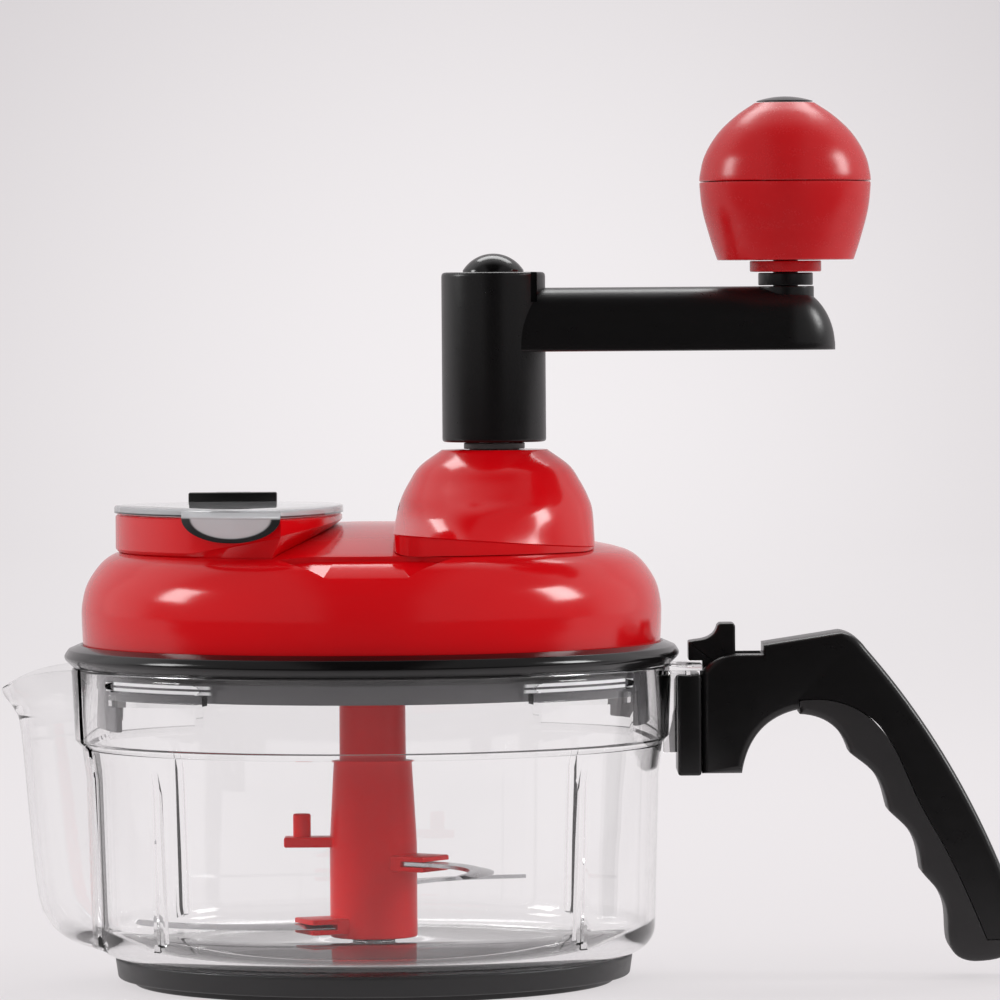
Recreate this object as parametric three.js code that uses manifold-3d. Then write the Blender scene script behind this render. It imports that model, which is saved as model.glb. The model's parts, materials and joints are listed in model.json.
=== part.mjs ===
// A hand-cranked food chopper: a clear bowl with a pouring spout and a clip-on handle, a red lid
// that holds a pair of gears, a hinged cover over the feed chute, and a stack of three blades.
// Lengths are millimetres, +Z is up, the bowl's axis is the Z axis and the bowl stands on z = 0.
// The handle points along +X, the spout along -X, and the crank stands on the -Y side of the lid.
import * as THREE from "three";
import { mergeVertices } from "three/addons/utils/BufferGeometryUtils.js";
import Module from "manifold-3d";

const wasm = await Module();
wasm.setup();

const rad = THREE.MathUtils.degToRad;

// Fits shared by all pieces
const seat = 0.3; // gap between pieces that touch
const running = 0.4; // gap round what turns or slides
const overrun = 3; // how far a cutter runs past what it cuts
const weld = 0.0001; // points closer than this are one point

// Facets
const roundSides = 40;
const lipSides = 72;
const cavitySides = 24;
const knobSides = 22;
const smallSides = 18;
const tinySides = 10;
const coilSides = 4;
const coilStepsPerTurn = 7;
const spoutSteps = 8;
const mouthSteps = 5;
const outerCornerSteps = 4;
const innerCornerSteps = 2;
const rampSteps = 3;
const lugSteps = 2;
const driveFlankSteps = 1;
const pinionFlankSteps = 1;
const curveSteps = 4;
const archSteps = 7;
const grooveSteps = 6;
const backSteps = 8;
const planBackSteps = 12;
const planFrontSteps = 8;
const cornerSteps = 2;
const armEndSteps = 6;
const armTopSteps = 8;

// Angles in degrees
const ribAngle = 42.5;
const rampStartAngle = 30;
const rampEndAngle = 57;
const lugSpanAngle = 14;
const lugAngles = [201, 347, 21, 167];
const pressureAngle = 20;
const crankAngle = -30.713;

// The bowl's radii each go out from the one below, its upper heights down from the one above.
const bowl = {
  lowRadius: 91.6,
  rimHeight: 103,
  wall: 2.4,
  footWall: 3,
  cornerRadius: 9,
  bellyOut: 1.4,
  ledgeOut: 1.3,
  collarOut: 2.1,
  rimOut: 1.1,
  collarDrop: 23.2,
  ledgeDrop: 2.4,
  bellyDrop: 9.4,
  bossRadius: 7,
  bossHeight: 2.3,
  ribWidth: 3,
  ribDepth: 2.4,
  ribLift: 5.7,
  rampDrop: 10.5,
  rampHeight: 4,
  rampDepth: 3.2,
  pocketDrop: 5.6,
  pocketHeight: 3.4,
  pocketDepth: 1.2,
};
bowl.bellyRadius = bowl.lowRadius + bowl.bellyOut;
bowl.ledgeRadius = bowl.bellyRadius + bowl.ledgeOut;
bowl.collarRadius = bowl.ledgeRadius + bowl.collarOut;
bowl.rimRadius = bowl.collarRadius + bowl.rimOut;
bowl.collarBottom = bowl.rimHeight - bowl.collarDrop;
bowl.ledgeHeight = bowl.collarBottom - bowl.ledgeDrop;
bowl.bellyHeight = bowl.ledgeHeight - bowl.bellyDrop;
bowl.ribTop = bowl.ledgeHeight - bowl.ribDepth;

const base = {
  inset: 7.4,
  draft: 1,
  footInset: 6.2,
  recessInset: 8.2,
  footHeight: 2,
  height: 9,
  floor: 4.5,
  lip: 0.8,
};
base.radius = bowl.lowRadius - base.inset;
base.lowRadius = base.radius - base.draft;
base.footRadius = base.radius - base.footInset;
base.recessRadius = base.radius - base.recessInset;
bowl.underside = base.height + seat;
bowl.ribBottom = bowl.underside + bowl.ribLift;

const spout = {
  rootHalfWidth: 30,
  rootInset: 6,
  windowHalfWidth: 11,
  windowLift: 5.7,
  windowDrop: 3.4,
  mouthPull: 20.9,
  mouthDrop: 11.5,
};
const spoutNoseShare = 1.15;
// The spout's nose: its low heights stand on the bowl's underside and its high ones hang from the
// rim; each reach goes out from the bowl's low radius.
const spoutRises = [2.3, 5.7, 11.7, 24.2];
const spoutDrops = [22.4, 14, 8.5, 0];
const spoutOuts = [-2.6, 8, 14.4, 18.2, 22.6, 24.7, 28.4, 30.9];
const spoutHeights = [
  ...spoutRises.map((rise) => bowl.underside + rise),
  ...spoutDrops.map((drop) => bowl.rimHeight - drop),
];
const spoutReaches = spoutOuts.map((out) => bowl.lowRadius + out);

const bracket = {
  flangeOut: 9.5,
  flangeHalfWidth: 14,
  flangeHeight: 2,
  webHalfWidth: 5,
  webOut: 4.3,
  capHalfWidth: 10,
  capDepth: 1.6,
  railDrop: 3.4,
  rootDepth: 1.8,
};
bracket.flangeReach = bowl.rimRadius + bracket.flangeOut;
bracket.flangeBottom = bowl.rimHeight - bracket.flangeHeight;
bracket.webReach = bowl.rimRadius + bracket.webOut;
bracket.capReach = bracket.webReach + bracket.capDepth;
bracket.bottom = bowl.ledgeHeight - bracket.railDrop;
bracket.root = bowl.collarRadius - bracket.rootDepth;

const mount = { gap: 1.5, depth: 7.6, height: 32, topDrop: 3.5, halfWidth: 15 };
mount.near = bowl.rimRadius + mount.gap;
mount.far = mount.near + mount.depth;
mount.top = bowl.rimHeight - mount.topDrop;
mount.bottom = mount.top - mount.height;

// The handle's points are how far out they lie from its near face and how far up from the rim.
const handle = {
  thickness: 26,
  bevel: 2.5,
  archFoot: [12.9, -35.5],
  archPull: [15.7, -18],
  archTop: [31.7, -14.9],
  notchDrop: 1.6,
  tip: [88.1, -97.1],
  tipPull: [79.7, -96.8],
  heel: [102.1, -92.4],
  heelPull: [98.6, -97],
  backLow: [102.9, -83],
  backPull: [85.8, -32.8],
  backBend: [53.2, 4.8],
  crestPull: [50.1, 9.4],
  crest: [45.1, 10.1],
  deckEnd: [20, 6.3],
  deck: 3.2,
  shoulder: [11.1, 3.2],
  shoulderPull: [3.1, 2.6],
  front: -2.7,
};
handle.near = mount.far + seat;
const finger = { depth: 2.9, grooves: 3, steps: 7 };
// The ridges between the finger grooves, from the notch down to the tip.
const ridges = [
  [47.9, -29.2],
  [60.4, -48.1],
  [71.1, -68.2],
  [79.4, -88.6],
];
const firstGroovePull = [44.1, -17];
// The parting line between the hard shell and the soft grip.
const seam = [
  [30.3, -12.2],
  [38.2, -11.8],
  [44.7, -12.9],
  [51.1, -15.6],
  [57.6, -21],
  [62.4, -28.2],
  [65.8, -35.5],
  [69.6, -44.2],
  [73.6, -51.8],
  [77.7, -58.9],
  [83.2, -70],
  [88.6, -82.3],
  [91.9, -90.2],
  [108, -89.6],
];

// The latch is placed like the handle: lengths out from its near face and up from the rim.
const latch = {
  halfWidth: 7,
  nose: -4.1,
  noseBottom: 0.9,
  noseTop: 7,
  front: 0.5,
  swellStart: -1.9,
  humpStart: 5.3,
  humpTop: 12.9,
  back: 11.1,
  bottom: -5,
  travel: 7.5,
  slotEnd: 19.5,
  springRadius: 2.4,
  springWire: 0.8,
};
const latchSpringTurns = 4;

const screw = { radius: 1.6, headRadius: 3, headHeight: 1.8 };
const handleScrewDrops = [25, 11];
const handleScrewLength = 13;

// The lid's radii go in from the bowl's rim and its heights go up from it, each from the one before.
const lid = {
  wall: 2.4,
  lift: 4,
  skirtIn: 6.9,
  skirtDrop: 8.5,
  skirtWall: 2,
  beadOut: 2.9,
  beadLift: 3.3,
  seatIn: 3.8,
  shoulderBeadOut: 4.9,
  shoulderBeadRise: 2.7,
  crestBeadOut: 1.1,
  crestBeadRise: 1.6,
  sideOut: 0.5,
  sideRise: 16,
  shoulderIn: 1.9,
  shoulderRise: 7,
  bendIn: 4.1,
  bendRise: 6.2,
  browIn: 4.2,
  browRise: 3.3,
  topIn: 5,
  topRise: 1.7,
  crownRise: 8.3,
  lugDrop: 19,
  bossRadius: 6,
  postRadius: 4.2,
  postIn: 11.7,
  screwDepth: 13,
};
lid.bottom = bowl.rimHeight + lid.lift;
lid.skirtRadius = bowl.rimRadius - lid.skirtIn;
lid.skirtBottom = bowl.rimHeight - lid.skirtDrop;
lid.beadRadius = bowl.rimRadius + lid.beadOut;
lid.beadHeight = bowl.rimHeight + lid.beadLift;
lid.seatRadius = bowl.rimRadius - lid.seatIn;
lid.beadShoulder = lid.seatRadius + lid.shoulderBeadOut;
lid.beadShoulderHeight = lid.beadHeight + lid.shoulderBeadRise;
lid.beadCrest = lid.seatRadius + lid.crestBeadOut;
lid.beadCrestHeight = lid.beadShoulderHeight + lid.crestBeadRise;
lid.sideRadius = lid.seatRadius + lid.sideOut;
lid.sideTop = lid.bottom + lid.sideRise;
lid.shoulderRadius = lid.sideRadius - lid.shoulderIn;
lid.shoulderHeight = lid.sideTop + lid.shoulderRise;
lid.bendRadius = lid.shoulderRadius - lid.bendIn;
lid.bendHeight = lid.shoulderHeight + lid.bendRise;
lid.brow = lid.bendRadius - lid.browIn;
lid.browHeight = lid.bendHeight + lid.browRise;
lid.rimTop = lid.brow - lid.topIn;
lid.rimTopHeight = lid.browHeight + lid.topRise;
lid.crown = lid.rimTopHeight + lid.crownRise;
lid.lugBottom = bowl.rimHeight - lid.lugDrop;
lid.postPitchRadius = lid.seatRadius - lid.postIn;
const lidPostAngles = [15, 72, 140, 262];
const lidCrownShares = [0.7, 0.4, 0];
// How much of the wall each point of the lid's line goes in and down for its inner face.
const lidInwardShares = [1, 1, 0.95, 0.8, 0.55, 0.2];
const lidDownwardShares = [0, 0, 0.25, 0.6, 0.84, 0.98];
// The points of the lid's outer line that its inner face follows.
const lidInsidePicks = [0, 1, 3, 5, 7, 8];

// The gears fill the room inside the lid's side wall, so their module follows from it.
const gears = { sideGap: 8.675, faceWidth: 7, backlash: 0.3, lift: 14, web: 3 };
const driveTeeth = 56;
const pinionTeeth = 19;
const addendumShare = 1;
const dedendumShare = 1.25;
const gearRoom = lid.sideRadius - lid.wall - gears.sideGap;
gears.module = gearRoom / ((driveTeeth + pinionTeeth) / 2 + driveTeeth / 2 + addendumShare);
gears.faceBottom = lid.bottom + gears.lift;
const centreDistance = (gears.module * (driveTeeth + pinionTeeth)) / 2;
const crankX = centreDistance * Math.cos(rad(crankAngle));
const crankY = centreDistance * Math.sin(rad(crankAngle));

const drive = { hubRadius: 9, hubDrop: 2.4, hubHeight: 12.4, rimWall: 4, holeRadius: 6.5 };
drive.hubBottom = gears.faceBottom - drive.hubDrop;
drive.hubTop = drive.hubBottom + drive.hubHeight;
const driveHoles = 6;

const cover = { drop: 2.4, thickness: 2.3, play: 0.5, ribHeight: 3, ribWidth: 2, bossRadius: 8.5 };
cover.bottom = lid.bottom - cover.drop;
cover.top = cover.bottom + cover.thickness;
cover.radius = lid.skirtRadius - lid.skirtWall - cover.play;
cover.bossTop = drive.hubBottom - running;

const dome = {
  wall: 2.4,
  frontIn: 11.9,
  sideIn: 9.4,
  cornerLength: 8,
  creaseIn: 0.45,
  creaseLeftDrop: 1.6,
  creaseRightDrop: 7.2,
  rise: 23.7,
  topRadius: 17,
  wellIn: 8.1,
  wellDrop: 1.3,
  cavityTopRadius: 19.3,
  neckDepth: 11,
  neckWall: 3,
};
dome.reach = lid.seatRadius - dome.frontIn;
dome.radius = dome.reach - dome.sideIn - crankX;
dome.wellRadius = dome.radius - dome.wellIn;
dome.top = lid.crown + dome.rise;
dome.wellTop = lid.crown - dome.wellDrop;
dome.cavityTop = dome.top - dome.neckDepth;
// The dome's sections from its top down: how much of the fall and of the spread each has, and how
// far its front has come out to the band's.
const domeFallShares = [0, 0.2, 0.4, 0.6, 0.8];
const domeSpreadShares = [0, 0.457, 0.689, 0.861, 0.96];
const domeFrontShares = [0, 0.12, 0.3, 0.55, 0.8];

const bush = { bodyRadius: 8, flangeRadius: 9.8, flangeHeight: 1.9 };
bush.flangeTop = dome.top + seat + bush.flangeHeight;

const feed = {
  y: -10,
  frontIn: 10.6,
  leftIn: 0.6,
  domeGap: 17.3,
  lowIn: 1.6,
  lowRightIn: 13,
  highNoseIn: 17.9,
  lowNoseIn: 7.9,
  sidePull: 26,
  wall: 2.3,
  topRise: 3.2,
  flareDrop: 9.5,
  edgeDrop: 8.1,
  edgeRise: 9.4,
  edgeStart: 26.5,
  earDepth: 4,
};
feed.highReach = lid.seatRadius - feed.frontIn;
feed.lowReach = feed.highReach - feed.lowIn;
feed.highRight = crankX - dome.radius - feed.domeGap;
feed.lowRight = feed.highRight - feed.lowRightIn;
feed.highLeft = feed.leftIn - feed.highReach;
feed.lowLeft = feed.leftIn - feed.lowReach;
feed.centre = (feed.highLeft + feed.highRight) / 2;
feed.back = feed.y + (feed.highRight - feed.highLeft) / 2;
feed.top = lid.crown + feed.topRise;
feed.flareBottom = lid.crown - feed.flareDrop;

const feedLid = {
  thickness: 2.7,
  edge: 0.9,
  overhang: 0.4,
  lipThickness: 1.8,
  lipHalfWidth: 16,
  lipRight: 2.8,
  lipDrop: 9.5,
  lipFlare: 4.2,
  holeHalfWidth: 5.8,
  holeHalfDepth: 2.6,
  holeIn: 21.1,
};
feedLid.bottom = feed.top + seat;
feedLid.top = feedLid.bottom + feedLid.thickness;
feedLid.lipX = feed.centre + feedLid.lipRight;
feedLid.holeY = feedLid.holeIn - feed.highReach;

const hinge = {
  behind: 5,
  rise: 0.5,
  pinRadius: 1.1,
  knuckleRadius: 2.4,
  knuckleHalfWidth: 6,
  earReach: 13.5,
  blockHalfWidth: 14.5,
  blockDepth: 5.4,
  blockGap: 3.6,
  blockCrown: 0.1,
};
hinge.x = feed.centre;
hinge.y = feed.back + hinge.behind;
hinge.z = feedLid.top + hinge.rise;

const crank = {
  height: 54.5,
  radius: 16.7,
  edge: 0.9,
  wall: 2.4,
  socketRadius: 8.6,
  cavityDrop: 3,
  armDrop: 25.6,
  armHeight: 20.5,
  armHalfWidth: 14.2,
  reach: 94,
  overhang: 15.8,
  buttonBore: 10.4,
  boreLift: 3,
  notchNear: 12,
  notchFar: 14,
  notchDepth: 9.6,
  notchInner: 8,
};
crank.bottom = bush.flangeTop + seat;
crank.top = crank.bottom + crank.height;
crank.armBottom = crank.top - crank.armDrop;
crank.armTop = crank.armBottom + crank.armHeight;
crank.cavityTop = crank.armBottom - crank.cavityDrop;
crank.boreBottom = crank.armBottom + crank.boreLift;
// The arm's section is a squared ellipse, and its end falls to a small share of its height.
const armPowerShare = 0.77;
const armEndShare = 0.05;
const armTipShare = 0.08;

const shaft = { radius: 5, hexRadius: 5.6, footLift: 2.8, hexLift: 0.5, topDrop: 3 };
shaft.bottom = cover.bottom + shaft.footLift;
shaft.hexBottom = crank.bottom + shaft.hexLift;
shaft.top = crank.cavityTop - shaft.topDrop;
const clip = { radius: 8.5, thickness: 1.2 };

const button = { radius: 9.8, rise: 5.4, depth: 13.6, travel: 2.5, rimHeight: 0.6 };
button.bottom = crank.top - button.depth;
const spring = { wire: 1.1, radius: 6.6 };
const springTurns = 3;

const knob = {
  spindleRadius: 8.8,
  spindleHeight: 4,
  pinRadius: 4,
  tailDepth: 14.5,
  collarRadius: 11.5,
  collarHeight: 3.5,
  wall: 2.4,
  hubRadius: 7.2,
  capRadius: 9,
  capRise: 1.75,
};
knob.flange = crank.armTop + seat;
knob.spindleTop = knob.flange + knob.spindleHeight;
knob.tail = crank.armTop - knob.tailDepth;
knob.collarTop = knob.spindleTop + seat + knob.collarHeight;
knob.bottom = knob.collarTop + seat;
// Both halves of the knob: heights above its bottom, and radii.
const knobLowRises = [0, 4.4, 9.1, 13.8, 18.5, 25];
const knobLowRadii = [21.9, 23.4, 24.8, 26.1, 27, 27.6];
const knobHighRises = [25.3, 27.9, 32.6, 37.3, 42, 46.7, 50.45];
const knobHighRadii = [27.6, 27.3, 26.2, 23.9, 20.4, 15.2, 9.6];
knob.capBottom = knob.bottom + knobHighRises[knobHighRises.length - 1] + seat;
knob.capTop = knob.capBottom + knob.capRise;

const pivot = { radius: 2.5, length: 29.1, depth: 1.6 };
pivot.bottom = bowl.underside + pivot.depth;
pivot.top = pivot.bottom + pivot.length;

const stem = {
  hubRadius: 14.2,
  hubHeight: 30.4,
  waistRadius: 12.7,
  waistDrop: 31,
  topRadius: 10.8,
  topDrop: 3.4,
  hexRadius: 6.1,
  hexHeight: 13,
  flangeRadius: 13.6,
  armDrop: 1.1,
  armThickness: 3.3,
  armReach: 29,
  armHalfWidth: 4.5,
  pegRadius: 2.9,
  pegReach: 23.2,
  pegHeight: 7.5,
  lugReach: 25,
  lugHalfWidth: 7.5,
  lugHeight: 5,
};
stem.bottom = bowl.underside + bowl.wall + bowl.bossHeight + 2 * seat;
stem.hubTop = stem.bottom + stem.hubHeight;
stem.waistHeight = bowl.rimHeight - stem.waistDrop;
stem.top = bowl.rimHeight - stem.topDrop;
stem.hexTop = stem.top + stem.hexHeight;
stem.armBottom = stem.hubTop - stem.armDrop;

const pinion = {
  faceDrop: 1.5,
  faceWidth: 10.5,
  hubRadius: 9,
  hubGap: 1.6,
  socketGap: 0.8,
  socketRadius: 6.6,
  bushWall: 1.8,
  bushFlange: 1.5,
};
pinion.faceBottom = gears.faceBottom - pinion.faceDrop;
pinion.faceTop = pinion.faceBottom + pinion.faceWidth;
pinion.hubBottom = stem.top + pinion.hubGap;
pinion.socketTop = stem.hexTop + pinion.socketGap;
lid.bossGap = 1;
lid.bossBottom = pinion.faceTop + lid.bossGap;

const blade = {
  thickness: 1.2,
  rootRadius: 16.5,
  sideGap: 10.2,
  rootWidth: 13,
  tipWidth: 5,
  grind: 4.5,
  edge: 0.2,
};
blade.tipRadius = bowl.lowRadius - bowl.wall - blade.sideGap;
// How high each blade lies above the stem's foot.
const tierRises = [3.6, 13.8, 24];
const bladeHeights = tierRises.map((rise) => stem.bottom + rise);
const bladeAngles = [205, 85, 325];
const bladeSweepAngle = 34;
const bladeSweepShare = 1.6;
const bladeLeanShare = 0.7;
const bladeTaperShare = 1.4;
const bladeGrindShare = 0.6;
const bladeSteps = 10;


// A closed surface turned so that its faces point out.
function facingOut(geometry) {
  const bare = new THREE.BufferGeometry();
  bare.setAttribute("position", geometry.getAttribute("position").clone());
  if (geometry.index) bare.setIndex(geometry.index.clone());
  const merged = mergeVertices(bare, weld);
  const p = merged.getAttribute("position");
  const index = merged.index.array;
  const [a, b, c] = [new THREE.Vector3(), new THREE.Vector3(), new THREE.Vector3()];
  let volume = 0;
  for (let i = 0; i < index.length; i += 3) {
    a.fromBufferAttribute(p, index[i]);
    b.fromBufferAttribute(p, index[i + 1]);
    c.fromBufferAttribute(p, index[i + 2]);
    volume += a.dot(b.cross(c));
  }
  if (volume < 0) {
    for (let i = 0; i < index.length; i += 3) {
      [index[i + 1], index[i + 2]] = [index[i + 2], index[i + 1]];
    }
  }
  return merged;
}

function toSolid(geometry) {
  const closed = facingOut(geometry);
  return new wasm.Manifold(
    new wasm.Mesh({
      numProp: 3,
      vertProperties: new Float32Array(closed.getAttribute("position").array),
      triVerts: new Uint32Array(closed.index.array),
    }),
  );
}

function toGeometry(solid) {
  const mesh = solid.getMesh();
  const geometry = new THREE.BufferGeometry();
  geometry.setAttribute("position", new THREE.BufferAttribute(mesh.vertProperties, 3));
  geometry.setIndex(new THREE.BufferAttribute(mesh.triVerts, 1));
  return geometry;
}

function join(first, ...others) {
  return toGeometry(others.reduce((all, one) => all.add(toSolid(one)), toSolid(first)));
}

function cut(body, ...tools) {
  return toGeometry(tools.reduce((rest, tool) => rest.subtract(toSolid(tool)), toSolid(body)));
}

function meet(first, second) {
  return toGeometry(toSolid(first).intersect(toSolid(second)));
}

const point = (pair) => new THREE.Vector2(pair[0], pair[1]);

// A profile of [radius, height] pairs turned about the Z axis, closed on itself if off the axis.
function turned(profile, sides = roundSides) {
  const line = profile[0][0] > 0 ? [...profile, profile[0]] : profile;
  const made = new THREE.LatheGeometry(line.map(point), sides);
  return facingOut(made.rotateX(Math.PI / 2));
}

function disc(radius, bottom, top, x = 0, y = 0, sides = smallSides) {
  const made = new THREE.CylinderGeometry(radius, radius, top - bottom, sides);
  return made.rotateX(Math.PI / 2).translate(x, y, (top + bottom) / 2);
}

function ring(outer, inner, bottom, top, x = 0, y = 0, sides = smallSides) {
  const hole = disc(inner, bottom - overrun, top + overrun, x, y, sides);
  return cut(disc(outer, bottom, top, x, y, sides), hole);
}

function block(x0, x1, y0, y1, z0, z1) {
  const made = new THREE.BoxGeometry(x1 - x0, y1 - y0, z1 - z0);
  return made.translate((x0 + x1) / 2, (y0 + y1) / 2, (z0 + z1) / 2);
}

// A plan outline raised from one height to another.
function raised(points, bottom, top) {
  const shape = new THREE.Shape(points);
  const made = new THREE.ExtrudeGeometry(shape, { depth: top - bottom, bevelEnabled: false });
  return made.translate(0, 0, bottom);
}

// A side outline of [x, z] pairs given a width along Y, with its edges broken by a bevel.
function slab(points, width, bevel = 0) {
  const shape = new THREE.Shape(points);
  const made = new THREE.ExtrudeGeometry(shape, {
    depth: width - 2 * bevel,
    bevelEnabled: bevel > 0,
    bevelThickness: bevel,
    bevelSize: bevel,
    bevelOffset: -bevel,
    bevelSegments: 1,
  });
  return made.translate(0, 0, bevel - width / 2).rotateX(Math.PI / 2);
}

// A body through rings of as many points each, closed at both ends.
function lofted(rings) {
  const places = [];
  const faces = [];
  const size = rings[0].length;
  rings.forEach((one) => one.forEach((v) => places.push(v.x, v.y, v.z)));
  for (let r = 0; r + 1 < rings.length; r++) {
    for (let i = 0; i < size; i++) {
      const [a, b] = [r * size + i, r * size + ((i + 1) % size)];
      faces.push(a, b, b + size, a, b + size, a + size);
    }
  }
  const last = (rings.length - 1) * size;
  for (let i = 1; i + 1 < size; i++) {
    faces.push(0, i + 1, i);
    faces.push(last, last + i, last + i + 1);
  }
  const made = new THREE.BufferGeometry();
  made.setAttribute("position", new THREE.Float32BufferAttribute(places, 3));
  made.setIndex(faces);
  return facingOut(made);
}

function bend(start, pull, end, steps = 6) {
  return new THREE.QuadraticBezierCurve(point(start), point(pull), point(end)).getPoints(steps);
}

// Points of a circle's arc, angles in radians.
function arc(x, y, radius, start, end, steps) {
  return Array.from({ length: steps + 1 }, (_, i) => {
    const t = start + ((end - start) * i) / steps;
    return new THREE.Vector2(x + radius * Math.cos(t), y + radius * Math.sin(t));
  });
}

function hexagon(radius, bottom, top, x = 0, y = 0) {
  return disc(radius, bottom, top, x, y, 6);
}

// Base and bowl

function makeBasePad() {
  const b = base;
  return turned([
    [0, 0],
    [b.footRadius, 0],
    [b.footRadius, b.footHeight],
    [b.lowRadius, b.footHeight + seat],
    [b.radius, b.height - b.lip],
    [b.radius - b.lip, b.height],
    [b.recessRadius, b.height],
    [b.recessRadius, b.floor],
    [0, b.floor],
  ]);
}

// The bowl's outer wall line, drawn in by some thickness, from the floor's edge up to the rim.
function bowlWall(inset, cornerSteps) {
  const floor = bowl.underside + inset;
  const corner = bowl.cornerRadius;
  const low = bowl.lowRadius - inset;
  const turn = arc(low - corner, floor + corner, corner, -Math.PI / 2, 0, cornerSteps);
  return [
    ...turn.map((p) => [p.x, p.y]),
    [bowl.bellyRadius - inset, bowl.bellyHeight],
    [bowl.ledgeRadius - inset, bowl.ledgeHeight],
    [bowl.collarRadius - inset, bowl.collarBottom],
    [bowl.rimRadius - inset, bowl.rimHeight],
  ];
}

function spoutRing(height, reach, inset) {
  const root = Math.sqrt(bowl.lowRadius ** 2 - spout.rootHalfWidth ** 2) - spout.rootInset;
  const half = spout.rootHalfWidth - inset;
  const length = reach - inset - root;
  return Array.from({ length: spoutSteps + 1 }, (_, i) => {
    const t = (Math.PI * i) / spoutSteps;
    const x = -root - length * Math.sin(t) ** spoutNoseShare;
    return new THREE.Vector3(x, half * Math.cos(t), height);
  });
}

function spoutBody(inset) {
  const rings = spoutHeights.map((height, i) => {
    const lift = i === 0 ? inset : i === spoutHeights.length - 1 && inset > 0 ? overrun : 0;
    return spoutRing(height + lift, spoutReaches[i], inset);
  });
  return lofted(rings);
}

// What is cut away above the spout's sloping top edge.
function spoutMouth() {
  const top = bowl.rimHeight;
  const root = bowl.rimRadius - bowl.wall;
  const reach = spoutReaches[spoutReaches.length - 1] + overrun;
  const outline = [
    ...bend([-root, top], [-root - spout.mouthPull, top], [-reach, top - spout.mouthDrop], mouthSteps),
    point([-reach - overrun, top + 2 * overrun]),
    point([-root, top + 2 * overrun]),
  ];
  return slab(outline, 2 * (spout.rootHalfWidth + overrun));
}

function makeSpout() {
  const inner = turned([[0, 0], ...bowlWall(bowl.wall / 2, innerCornerSteps).slice(1), [0, bowl.rimHeight]]);
  return cut(spoutBody(0), spoutBody(bowl.wall), inner, spoutMouth());
}

function bowlRib(angle) {
  const wall = bowl.bellyRadius - bowl.wall / 2;
  const outline = [
    point([wall, bowl.ribBottom]),
    point([wall, bowl.ribTop]),
    point([wall - bowl.ribDepth, bowl.ribTop - bowl.ribDepth]),
    point([wall - bowl.ribDepth - bowl.wall, bowl.ribBottom + bowl.ribDepth]),
  ];
  return slab(outline, bowl.ribWidth).rotateZ(rad(angle));
}

// A sloping rib inside the collar that draws the lid down as it is turned.
function bowlRamp(centre, mirror) {
  const outer = bowl.rimRadius - bowl.wall / 2;
  const inner = outer - bowl.wall / 2 - bowl.rampDepth;
  const low = bowl.rimHeight - bowl.rampDrop;
  return curvedBar(centre, mirror, inner, outer, low, low + bowl.rampHeight, bowl.wall / 2);
}

// The shallow slot outside the collar behind a ramp.
function rampPocket(centre, mirror) {
  const top = bowl.rimHeight - bowl.pocketDrop + bowl.pocketHeight;
  const inner = bowl.collarRadius - bowl.pocketDepth;
  return curvedBar(centre, mirror, inner, bowl.rimRadius + overrun, top - bowl.pocketHeight, top, 0);
}

// A bar that follows the collar over a ramp's angles and climbs by some rise.
function curvedBar(centre, mirror, inner, outer, bottom, top, rise) {
  const rings = Array.from({ length: rampSteps + 1 }, (_, i) => {
    const share = i / rampSteps;
    const angle = rad(centre + mirror * (rampStartAngle + (rampEndAngle - rampStartAngle) * share));
    return [
      [outer, bottom],
      [outer, top],
      [inner, top],
      [inner, bottom],
    ].map(([r, z]) => new THREE.Vector3(r * Math.cos(angle), r * Math.sin(angle), z + rise * share));
  });
  return lofted(rings);
}

// The T-shaped rail and the flange above it that the handle's mount slides up on.
function makeBracket() {
  const b = bracket;
  const root = b.root;
  return join(
    block(root, b.flangeReach, -b.flangeHalfWidth, b.flangeHalfWidth, b.flangeBottom, bowl.rimHeight),
    block(root, b.webReach + seat, -b.webHalfWidth, b.webHalfWidth, b.bottom, b.flangeBottom + seat),
    block(b.webReach, b.capReach, -b.capHalfWidth, b.capHalfWidth, b.bottom, b.flangeBottom + seat),
  );
}

function makeBowl() {
  const outside = bowlWall(0, outerCornerSteps);
  const inside = bowlWall(bowl.wall, innerCornerSteps).reverse();
  const floor = bowl.underside;
  const footOuter = base.recessRadius - seat;
  const footBottom = base.floor + seat;
  const shell = turned([
    [0, floor],
    [footOuter - bowl.footWall, floor],
    [footOuter - bowl.footWall, footBottom],
    [footOuter, footBottom],
    [footOuter, floor],
    ...outside,
    ...inside,
    [0, floor + bowl.wall],
  ]);
  const boss = disc(bowl.bossRadius, floor + seat, floor + bowl.wall + bowl.bossHeight, 0, 0, tinySides);
  const ribs = [ribAngle, 180 - ribAngle, 180 + ribAngle, -ribAngle].map(bowlRib);
  const rampPlaces = [
    [180, 1],
    [180, -1],
    [0, 1],
    [0, -1],
  ];
  const ramps = rampPlaces.map(([centre, mirror]) => bowlRamp(centre, mirror));
  const pockets = rampPlaces.map(([centre, mirror]) => rampPocket(centre, mirror));
  const hollow = turned([
    [0, floor + bowl.wall],
    ...bowlWall(bowl.wall, innerCornerSteps),
    [bowl.rimRadius - bowl.wall, bowl.rimHeight + overrun],
    [0, bowl.rimHeight + overrun],
  ]);
  const joined = join(shell, boss, ...ribs, ...ramps, makeSpout(), cut(makeBracket(), hollow));
  const window = block(
    -bowl.ledgeRadius - bowl.wall / 2,
    -bowl.lowRadius + 2 * bowl.wall + bowl.cornerRadius,
    -spout.windowHalfWidth,
    spout.windowHalfWidth,
    bowl.underside + spout.windowLift,
    bowl.ledgeHeight - spout.windowDrop,
  );
  const pinHole = disc(pivot.radius + seat, pivot.bottom - seat, stem.bottom, 0, 0, tinySides);
  return cut(joined, window, pinHole, ...pockets);
}

function makePivotPin() {
  return disc(pivot.radius, pivot.bottom, pivot.top, 0, 0, tinySides);
}

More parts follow.
